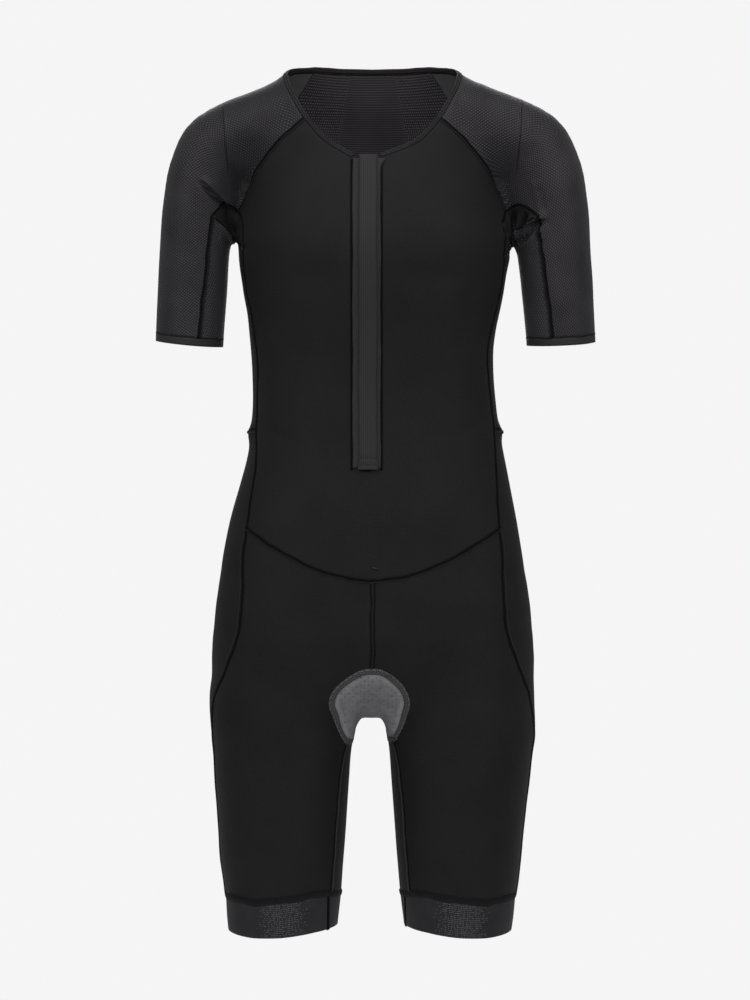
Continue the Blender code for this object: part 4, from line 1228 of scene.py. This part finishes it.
# %% The panels and bands
PANELS = [  # node, piece, material, slot, flat width, flat length, flat area, cloth thickness in mm
    ("front_panel", "front", smooth_cloth, "smooth_knit", 0.34, 0.49, 0.128, 1.0),
    ("back_panel", "back", back_knit, "open_knit", 0.32, 0.40, 0.096, 0.9),
]
for s in ("left", "right"):
    PANELS += [
        (f"side_panel_{s}", f"side_strip_{s}", smooth_cloth, "smooth_knit", 0.11, 0.24, 0.0217, 1.0),
        (f"sleeve_{s}", f"sleeve_{s}_cloth", sleeve_knit[s], "open_knit", 0.24, 0.31, 0.061, 0.8),
        (f"undersleeve_{s}", f"undersleeve_{s}_cloth", under_knit[s], "open_knit", 0.11, 0.13, 0.0118, 0.8),
        (f"front_leg_{s}", f"front_leg_{s}_cloth", smooth_cloth, "smooth_knit", 0.19, 0.40, 0.062, 1.0),
        (f"back_leg_{s}", f"back_leg_{s}_cloth", smooth_cloth, "smooth_knit", 0.33, 0.50, 0.142, 1.0),
        (f"leg_gripper_{s}", f"gripper_{s}", gripper_knit, "gripper_band", 0.39, 0.036, None, 1.3),
        (f"sleeve_band_{s}", f"sleeve_hem_{s}", band_cloth, "band_knit", 0.25, 0.010, None, 1.3),
    ]
BAND_LIFT = 0.1 * MM
for node, name, material, slot, width, length, area, thickness in PANELS:
    skin, points = skins[node]
    real = sum(face.calc_area() for face in skin.faces)
    place_all(skin.verts, lay(points, BAND_LIFT if "band" in node or "gripper" in node else 0.0))
    flat = coordinates_on(points, node)
    lining = sleeve_inside if name.startswith("sleeve") and "cloth" in name else None
    piece = finish_piece(name, skin, material, slot, thickness * MM, lining, cloth=flat)
    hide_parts(node)
    size = np.ptp(flat, axis=0)
    print(f"{name}: {real * 1e4:.0f} square cm, {size[0] / MM:.0f} round, {size[1] / MM:.0f} along")

# %% [markdown]
# ## Overlocked seams
# Inside out, every seam shows its allowance: two raw edges bound together by an overlock stitch and pressed
# to one side. It reads as a black line where the panels meet, which is painted shade in the join's groove,
# with a low ridge and a paler thread line beside it. A seam is a strip of faces swept along its seam line.
# Its profile says, from the join across the allowance, how high it stands and which tone it has, from 0 for
# the painted shade at the join, over 0.5 for cloth, to 1 for pale thread.

# %% Even lines and grids
STRIP_STEP, STRIP_WALL = 2.4 * MM, 0.7 * MM
CLOSED_GAP, END_GAP = 0.01 * MM, 0.02 * MM      # the ends of a strip that runs all round are joined


def even_line(line, step=STRIP_STEP, rounds=6):
    """The line in even steps, smoothed a little between its ends."""
    count = max(3, round(way_along(line)[-1] / step))
    place = np.linspace(0, way_along(line)[-1], count + 1)
    even = np.column_stack([np.interp(place, way_along(line), line[:, k]) for k in range(3)])
    for _ in range(rounds):
        even[1:-1] += 0.5 * ((even[:-2] + even[2:]) / 2 - even[1:-1])
    return even


def grid_piece(name, places, material, slot, thickness, cloth_places, tones=None):
    """A strip or sheet from a grid whose points are moved to these places (rows, columns, 3)."""
    rows, columns = places.shape[:2]
    bm = bmesh.new()
    bmesh.ops.create_grid(bm, x_segments=columns - 1, y_segments=rows - 1, size=1)
    at = np.array([((v.co.y + 1) / 2 * (rows - 1), (v.co.x + 1) / 2 * (columns - 1)) for v in bm.verts])
    at = np.round(at).astype(int)
    place_all(bm.verts, places[at[:, 0], at[:, 1]])
    bm.normal_update()
    faces = bm.faces[:]
    middles = np.array([face.calc_center_median() for face in faces[::7]])
    facing = np.array([face.normal for face in faces[::7]])
    if (facing * outward(middles)).sum() < 0:
        bmesh.ops.reverse_faces(bm, faces=faces)
    if np.abs(places[0] - places[-1]).max() < CLOSED_GAP:
        every = bm.verts[:]
        ends = [v for v, (row, _) in zip(every, at) if row in (0, rows - 1)]
        bmesh.ops.remove_doubles(bm, verts=ends, dist=END_GAP)
        at = at[[number for number, v in enumerate(every) if v.is_valid]]
    values = {"cloth": cloth_places[at[:, 0], at[:, 1]]}
    if tones is not None:
        values["tone"] = tones[at[:, 0], at[:, 1]]
    return finish_piece(name, bm, material, slot, thickness, **values)


print("a strip's steps:", round(STRIP_STEP / MM, 1), "mm")


# %% Laying a strip along a line
PROBE, CLEAR = 4 * MM, 3 * MM       # a place so far aside is off a piece whose points are so far from it


def strip(name, line, profile, towards, slot="smooth_knit", base=0.0, swell=None, wander=0.0, material=None,
          lift_share=None, outside_of=None):
    """Sweeps a profile of (offset, height, tone) in mm along a line. It lies on the side of the place
    `towards`, or outside of a set of points."""
    line = put_on_form(even_line(line))
    closed = np.linalg.norm(line[0] - line[-1]) < 0.1 * MM
    for _ in range(2):
        normal = outward(line)
        tangent = np.gradient(line, axis=0)
        if closed:
            tangent[0] = tangent[-1] = (line[1] - line[-2]) / 2
        across = np.cross(normal, tangent)
        across /= np.linalg.norm(across, axis=1)[:, None]
        if outside_of is not None:
            aside = line + across * PROBE
            gaps = [np.linalg.norm(outside_of - place, axis=1).min() for place in aside[::12]]
            if np.mean(gaps) > CLEAR:
                break
        elif (across * (towards - line)).sum() >= 0:
            break
        line = line[::-1]
    offset, height, tone = np.array(profile, float).T
    way = way_along(line) / MM
    phase = 7.0 * abs(math.sin(31.0 * line[:, 2].mean() + 17.0 * line[:, 0].mean()))
    uneven = np.sin(way / 8.3 + phase) + 0.6 * np.sin(way / 3.9 + 2.3 * phase)
    size = (1 + 0.16 * wander * np.sin(way / 6.1 + phase)) * (1.0 if swell is None else swell(line))
    sideways = offset[None, :] * size[:, None] + (wander * uneven)[:, None]
    flat = line[:, None] + across[:, None] * (sideways * MM)[:, :, None]
    share = 1.0 if lift_share is None else lift_share(line)[:, None]
    lift = (height[None] * size[:, None] * share + base) * MM
    places = lay(flat.reshape(-1, 3), lift.ravel()).reshape(flat.shape)
    along = np.repeat(way_along(line)[:, None], len(offset), axis=1)
    unrolled = np.stack([np.repeat(offset[None] * MM, len(line), axis=0), along], axis=2)
    tones = np.repeat(tone[None], len(line), axis=0)
    return grid_piece(name, places, material or sewing, slot, STRIP_WALL, unrolled, tones)


print("a strip's cloth:", round(STRIP_WALL / MM, 1), "mm thick")

# %% Profiles of the seams
# tones near 0 paint the shade in the groove at a join; tones over 0.5 are pale thread
OVERLOCK = [(-1.8, 0.05, 0.20), (-1.2, 0.20, 0.00), (0.4, 0.40, 0.00), (1.0, 0.85, 0.10), (1.8, 1.25, 0.36),
            (2.7, 1.30, 0.46), (3.3, 1.15, 0.70), (3.8, 0.80, 0.50), (4.2, 0.05, 0.00)]
NARROW = [(-1.8, 0.05, 0.20), (-1.2, 0.25, 0.00), (-0.2, 0.55, 0.00), (0.9, 0.50, 0.00), (1.6, 0.85, 0.30),
          (2.3, 0.85, 0.60), (2.9, 0.05, 0.05)]
PLAIN = [(-1.7, 0.05, 0.30), (-1.0, 0.35, 0.06), (0.0, 0.55, 0.02), (1.0, 0.35, 0.06), (1.7, 0.05, 0.30)]
UNDERARM = [(-3.4, -0.8, 0.30), (-1.7, -0.3, 0.30), (-1.0, 0.05, 0.06), (0.0, 0.25, 0.02), (1.0, 0.05, 0.06),
            (1.7, -0.3, 0.30), (3.4, -0.8, 0.30)]
DOUBLE = [(-3.0, 0.05, 0.35), (-2.3, 0.30, 0.02), (-1.5, 0.55, 0.05), (-0.7, 0.80, 0.42), (0.4, 0.80, 0.42),
          (1.2, 0.55, 0.05), (2.0, 0.30, 0.02), (2.7, 0.05, 0.35)]
PALE_EDGE = [(-1.4, 0.05, 0.25), (-0.8, 0.15, 0.00), (0.3, 0.25, 0.00), (0.9, 0.75, 0.50), (1.8, 1.00, 0.66),
             (3.0, 1.00, 0.70), (4.0, 0.70, 0.62), (4.5, 0.05, 0.30)]
BROAD = [(-4.4, 0.05, 0.44), (-3.4, 0.65, 0.38), (-1.6, 1.05, 0.32), (0.0, 1.20, 0.26), (1.4, 1.05, 0.20),
         (2.4, 0.60, 0.18), (3.2, 0.05, 0.40)]
HEM_JOIN = [(-1.0, 0.05, 0.45), (-0.4, 0.25, 0.22), (0.1, 0.32, 0.40), (0.5, 0.25, 0.22), (1.0, 0.05, 0.45)]
print("an overlocked allowance is", OVERLOCK[-1][0], "mm wide")


# %% The seams
def fuller_at_sides(line):
    """The waist seam's allowance is bulky where it crosses the side."""
    return 1 + 0.15 * hump(line[:, 1] / MM, -6, 20)


def flat_under_pad(line):
    """Seams are pressed flat where they meet under the pad, between the legs."""
    away = np.linalg.norm(line / MM - (0, 0, -680), axis=1)
    return np.maximum(fade(away, 18, 40), 0.15)


SEAMS = [  # name, panels, profile, the panel that the allowance lies on
    ("raglan_front_{s}", "front_panel", "sleeve_{s}", NARROW, "front_panel"),
    ("raglan_back_{s}", "back_panel", "sleeve_{s}", NARROW, "back_panel"),
    ("side_front_{s}", "front_panel", "side_panel_{s}", NARROW, "side_panel_{s}"),
    ("side_back_{s}", "back_panel", "side_panel_{s}", NARROW, "side_panel_{s}"),
    ("armhole_{s}", "side_panel_{s}", "sleeve_{s}", PLAIN, "side_panel_{s}"),
    ("underarm_{s}", "side_panel_{s}", "undersleeve_{s}", UNDERARM, "side_panel_{s}"),
    ("undersleeve_seam_{s}", "sleeve_{s}", "undersleeve_{s}", OVERLOCK, "undersleeve_{s}"),
    ("cuff_{s}", "sleeve_band_{s}", "sleeve_{s}", HEM_JOIN, "sleeve_{s}"),
    ("cuff_under_{s}", "sleeve_band_{s}", "undersleeve_{s}", HEM_JOIN, "undersleeve_{s}"),
    ("waist_back_{s}", "back_leg_{s}", "back_panel", OVERLOCK, "back_leg_{s}"),
    ("waist_side_{s}", "back_leg_{s}", "side_panel_{s}", OVERLOCK, "back_leg_{s}"),
    ("flank_{s}", "back_leg_{s}", "front_panel", NARROW, "back_leg_{s}"),
    ("yoke_{s}", "front_leg_{s}", "front_panel", NARROW, "front_leg_{s}"),
    ("thigh_{s}", "back_leg_{s}", "front_leg_{s}", OVERLOCK, "back_leg_{s}"),
    ("gripper_front_{s}", "front_leg_{s}", "leg_gripper_{s}", BROAD, "front_leg_{s}"),
    ("gripper_back_{s}", "back_leg_{s}", "leg_gripper_{s}", BROAD, "back_leg_{s}"),
    ("centre_front", "front_leg_left", "front_leg_right", DOUBLE, "front_leg_left"),
    ("centre_back", "back_leg_left", "back_leg_right", OVERLOCK, "back_leg_left"),
]
panel_middle = {name: points.mean(axis=0) for name, (_, points) in skins.items()}
for label, one, other, profile, under in SEAMS:
    for side in (("left", "right") if "{s}" in label + one + other else ("",)):
        one_name, other_name, onto = (text.format(s=side) for text in (one, other, under))
        for number, line in enumerate(shared_lines(one_name, other_name)):
            inner_leg = label.startswith("thigh") and np.abs(line[:, 0]).mean() < 0.06
            shape = PALE_EDGE if inner_leg else profile
            swell = fuller_at_sides if label.startswith("waist_side") else None
            name = "seam_" + label.format(s=side) + (f"_{number + 1}" if number else "")
            strip(name, line, shape, panel_middle[onto], swell=swell, wander=0.35,
                                     lift_share=flat_under_pad)

# %% [markdown]
# ## Gripper and tack
# Each gripper band is a ring that is closed by a seam of its own at the inner leg. A small bar tack holds the
# middle of the curved seam below the belly, where three seams would otherwise pull on one stitch.

# %% The grippers' own seams and the tack
for side, line in (("left", [(-45.5, -868), (-46.5, -903)]), ("right", [(37.5, -868), (38.5, -903)])):
    ring_seam = cast(smooth_curve(line, 14))
    towards = np.array([0, 0, -0.88])
    strip(f"seam_gripper_ring_{side}", ring_seam, NARROW, towards, base=0.1)
tack = cast(smooth_curve([(-0.2, -514), (5.2, -515.4)], 4))
TACK = [(-1.0, 0.6, 0.2), (-0.5, 1.3, 0.6), (0.0, 1.5, 0.7), (0.5, 1.3, 0.6), (1.0, 0.6, 0.2)]
strip("belly_tack", tack, TACK, np.array([0, 0, 0]))

# %% [markdown]
# ## Neck binding
# The neck edge is bound with a folded strip of knit, held by two lines of cover stitch. The solid already has
# the fold's thickness, so its merged copy is divided and its edges are rounded by smoothing. The stitch lines
# are narrow strips that follow the binding's own lower edge.

# %% A rounded copy of the whole binding
def rounded_copy(node, longest, rounds, swell):
    """A whole solid, divided, smoothed, swollen a little and laid on the creases."""
    bm = merged_copy(node)
    divide(bm, longest)
    for _ in range(rounds):
        bmesh.ops.smooth_vert(bm, verts=bm.verts, factor=0.5, use_axis_x=True, use_axis_y=True,
                              use_axis_z=True)
    bm.normal_update()
    points = np.array([v.co + v.normal * swell for v in bm.verts])
    foot = put_on_form(points, 4)
    place_all(bm.verts, settle(points + crease_move(foot, outward(foot))))
    return bm, points


binding_bm, binding_points = rounded_copy("neck_binding", 1.3 * MM, 3, 0.35 * MM)
binding = finish_piece("neck_binding_cloth", binding_bm, binding_knit, "band_knit",
                       cloth=coordinates_on(binding_points, "neck_binding"))
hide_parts("neck_binding")

binding_skin = skin_of("neck_binding")
divide(binding_skin, 2.4 * MM)
binding_rim = even_out(binding_skin, 4)
skins["neck_binding"] = (binding_skin, binding_rim)
rim_lines["neck_binding"] = [binding_rim[line] for line in rims(binding_skin)]
print("binding faces:", len(binding.data.polygons))

# %% The join below the binding and its lines of stitches
STITCH = [(-0.4, 0.0, 0.40), (0.0, 0.30, 0.78), (0.4, 0.0, 0.40)]
JOIN = [(-2.0, 0, 0.64), (0, 0, 0.64), (2.0, 0, 0.64)]
above_neck = np.array([0, 0, 0.3])
for panel in ("front_panel", "back_panel", "sleeve_left", "sleeve_right"):
    for number, line in enumerate(shared_lines("neck_binding", panel, 3.2 * MM)):
        name = f"neck_join_{panel}_{number + 1}"
        strip(name, line, JOIN, above_neck, "band_knit", base=-0.55)
        for row, offset in enumerate((1.3, 3.9)):
            if panel == "back_panel" and row == 0:
                continue
            shifted = [(offset + across, height, tone) for across, height, tone in STITCH]
            name = f"neck_stitch_{panel}_{number + 1}_{row + 1}"
            strip(name, line, shifted, above_neck, "band_knit", base=0.42)

# %% [markdown]
# ## Zip and its guard
# The zip lies in a slit down the front. Inside out, its guard is uppermost: a folded strip of knit that keeps
# the coil off the skin, with the woven tapes showing at either side. Tapes and guard are sheets laid over the
# form at the height of their solids. The guard's bottom end is stitched down and flares a little.

# %% Sheets on the front, from their edges
def front_sheet(name, node, edges, lift, material, slot, thickness, step=2.6):
    """A sheet between two upright edges. edges(z) gives their x, and lift(share, z) its height, all in mm."""
    low, high = (np.array(corner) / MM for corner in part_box(node))
    heights = np.linspace(high[2], low[2], int((high[2] - low[2]) / step) + 1)
    shares = np.linspace(0, 1, 9)
    left, right = edges(heights)
    x = left[:, None] + (right - left)[:, None] * shares
    z = np.repeat(heights[:, None], len(shares), axis=1)
    foot = cast(np.column_stack([x.ravel(), z.ravel()]))
    places = lay(foot, lift(np.tile(shares, len(heights)), z.ravel()) * MM).reshape(*x.shape, 3)
    return grid_piece(name, places, material, slot, thickness * MM, np.stack([x, z], axis=2) * MM)


for node in ("zip_tape_left", "zip_tape_right", "zip_guard", "zip_coil", "zip_slider", "zip_pull"):
    low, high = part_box(node)
    print(node, np.round(np.array(low) / MM, 1), np.round(np.array(high) / MM, 1))


ZIP_TOP_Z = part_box("zip_tape_right")[1][2] / MM


def tape_edges(inner, outer):
    """A tape's edges. The top of the right one is turned out a little."""
    def edges(z):
        wobble = 0.25 * np.sin(z / 17.0) + 0.15 * np.sin(z / 5.3)
        flare = 5.0 * hump(z, ZIP_TOP_Z, 5.0) if outer > inner else 0 * z
        return np.full(len(z), inner), outer + wobble + flare
    return edges


def tape_lift(share, _):
    return 1.55 + 0.25 * np.sin(share * math.pi)


for side, inner, outer in (("left", -6.7, -20.5), ("right", -5.3, 8.5)):
    tape = front_sheet(f"zip_tape_{side}_weave", f"zip_tape_{side}", tape_edges(inner, outer), tape_lift,
                       zip_weave, "zip_tape", 0.9)
    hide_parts(f"zip_tape_{side}")


# %% The guard
GUARD_STITCHES = (5.5, 12.5)        # mm above its bottom end


def guard_edges(z):
    top, bottom = z.max() - z, z - z.min()
    wobble = 0.3 * np.sin(z / 23.0) + 0.2 * np.sin(z / 7.1)
    flare = 1.3 * hump(bottom, 0, 7) + 0.5 * hump(top, 0, 4)
    return -14.1 + wobble - flare, 4.7 + wobble + flare


def guard_lift(share, z):
    bottom = z - z.min()
    rolled_edges = 0.55 * np.exp(-((share - 0.5) / 0.42)**8) + 0.15 * np.sin(z / 31.0)
    return 2.9 + rolled_edges - 0.55 * sum(hump(bottom, rise, 1.2) for rise in GUARD_STITCHES)


guard = front_sheet("zip_guard_cloth", "zip_guard", guard_edges, guard_lift, band_cloth, "band_knit",
                    1.2, 1.8)
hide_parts("zip_guard")
guard_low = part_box("zip_guard")[0][2] / MM
for row, rise in enumerate(GUARD_STITCHES):
    line = cast(smooth_curve([(-13.6, guard_low + rise), (4.2, guard_low + rise)], 8))
    strip(f"guard_stitch_{row + 1}", line, STITCH, np.zeros(3), "band_knit", base=3.2)
print("guard faces:", len(guard.data.polygons))


# %% Upright lines beside the zip
def upright_line(x, top, bottom):
    """A line down the front, and a place far out on its side."""
    line = cast(smooth_curve([(x, top), (x, -250), (x, bottom)], 120))
    return line, np.array([math.copysign(0.5, x), 0, -0.2])


for side, x in (("left", -15.6), ("right", 6.4)):
    line, towards = upright_line(x, -90, -409)
    strip(f"tape_stitch_{side}", line, STITCH, towards, "zip_tape", base=1.75)
for side, x in (("left", -21.6), ("right", 9.4)):
    line, towards = upright_line(x, -88, -413)
    strip(f"seam_zip_{side}", line, PLAIN, towards)

for node, material in (("zip_coil", coil_nylon), ("zip_slider", dark_metal), ("zip_pull", dark_metal)):
    for material_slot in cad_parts[node].material_slots:
        material_slot.material = material

# %% [markdown]
# ## Seat pad
# The pad is moulded foam between two layers of knit: thick in the middle and thin at its rim, where a zigzag
# stitch holds its border down. The top of its solid is divided and evened out, and its points are raised into
# one soft crown, which is thinner between the legs. A pressed groove runs a little inside the border.

# %% The top of the pad
def top_skin(node):
    """The faces of a raised solid that look away from the form."""
    bm = merged_copy(node)
    bm.normal_update()
    middles = np.array([face.calc_center_median() for face in bm.faces])
    looks_out = (np.array([face.normal for face in bm.faces]) * outward(middles)).sum(1)
    others = [face for face, look in zip(bm.faces, looks_out) if look < 0.35]
    bmesh.ops.delete(bm, geom=others, context="FACES")
    return bm


LEFT_BULGE = np.array([(618, 0.3), (634, 0.85), (645, 1.12), (657, 1.2), (669, 0.9), (690, 0.85)]).T


def widen_front(points):
    """In front, the pad reaches further to one side, and its two lobes hang lower than the solid's."""
    x, y, z = (points / MM).T
    left = 10.0 * fade(x, 0, -34)**1.5 * np.interp(-z, *LEFT_BULGE)
    right = 4.8 * fade(x, 0, 34)**1.5 * (0.45 + 0.55 * hump(z, -656, 13))
    lobes = np.where(x < 0, 20.0, 16.0) * fade(z, -666, -684) * fade(np.abs(x), 7, 27)
    move = np.column_stack([(right - left) * fade(y, -5, -40), 0 * x, -lobes * fade(y, 12, -8)])
    return put_on_form(points + move * MM, 5)


def near_crotch(points):
    """1 between the legs and 0 away from there, where the pad is pressed thin."""
    _, y, z = (points / MM).T
    return fade(z, -640, -665) * fade(np.abs(y), 80, 30)


NO_CORNERS = 400       # degrees, more than any corner of the rim turns

pad_bm = top_skin("seat_pad")
divide(pad_bm, 2.6 * MM)
pad_points = widen_front(even_out(pad_bm, 18, corner=NO_CORNERS))
pad_rim = max((pad_points[line] for line in rims(pad_bm)), key=len)
pad_rim = np.vstack([pad_rim, pad_rim[:1]])
rim_tree = search_tree(pad_rim)
inside = np.array([rim_tree.find(place)[2] for place in pad_points]) / MM
print("pad rim:", round(way_along(pad_rim)[-1] / MM), "mm; deepest point", round(inside.max()), "mm inside")

# %% Swelling the pad
crown = 1.4 + 4.6 * (1 - np.exp(-(inside / 11)**1.6)) - 0.5 * hump(inside, 4.5, 1.3)
pressed, off_middle = near_crotch(pad_points), np.abs(pad_points[:, 0]) / MM
crown *= 1 - 0.45 * pressed
crown += pressed * (3.0 * hump(off_middle, 0, 7) - 2.6 * hump(off_middle, 13, 5.5))
crown = np.maximum(crown, 0.8)
top = lay(pad_points, crown * MM)
bottom = lay(pad_points, 0.3 * MM)
place_all(pad_bm.verts, pad_points)
copied = bmesh.ops.extrude_face_region(pad_bm, geom=pad_bm.faces[:], use_keep_orig=True)
point_tree = search_tree(pad_points)
raised = [item for item in copied["geom"] if isinstance(item, bmesh.types.BMVert)]
raised_from = [point_tree.find(vert.co)[1] for vert in raised]
place_all(list(pad_bm.verts)[:len(pad_points)], bottom)
place_all(raised, top[raised_from])
bmesh.ops.recalc_face_normals(pad_bm, faces=pad_bm.faces)
flat = coordinates_on(np.array([v.co for v in pad_bm.verts]), "seat_pad")
# painted light: a highlight ring just inside the rim, and lighter cloth between the legs, where the pad faces
# down into shade
painted_rim_light = 0.38 * hump(inside, 3.6, 1.8) + 0.30 * pressed * fade(pad_points[:, 1] / MM, 15, -15)
pad = finish_piece("seat_pad_foam", pad_bm, pad_cloth, "pad_foam", cloth=flat,
                   tone=np.concatenate([painted_rim_light, painted_rim_light[raised_from]]))
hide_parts("seat_pad")
print("pad faces:", len(pad.data.polygons))

# %% The overlocked border round it
# tones: a painted highlight along the inner edge, and pale overlock thread along the outer edge
BORDER = [(-0.9, 1.2, 0.80), (-0.3, 2.0, 0.55), (0.6, 2.2, 0.50), (1.7, 2.1, 0.50), (2.8, 2.0, 0.50),
          (3.8, 1.9, 0.50), (4.6, 1.8, 0.62), (5.1, 1.5, 0.90), (5.6, 0.1, 0.30)]


def pressed_at_crotch(line):
    return 1 - 0.5 * near_crotch(line)


border = strip("seat_pad_edge", pad_rim, BORDER, None, "pad_border", material=pad_edge,
               lift_share=pressed_at_crotch, outside_of=pad_points)
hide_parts("seat_pad_border")
EDGE_THREAD = [(5.2, 0.4, 0.8), (5.5, 0.9, 1.0), (5.8, 0.1, 0.8)]
strip("pad_edge_thread", pad_rim, EDGE_THREAD, None, "pad_border",
                           outside_of=pad_points, wander=0.15)
print("border faces:", len(border.data.polygons))

# %% [markdown]
# ## The finished suit
# All of its pieces are made in the steps above.

# %% End
print("all pieces made")
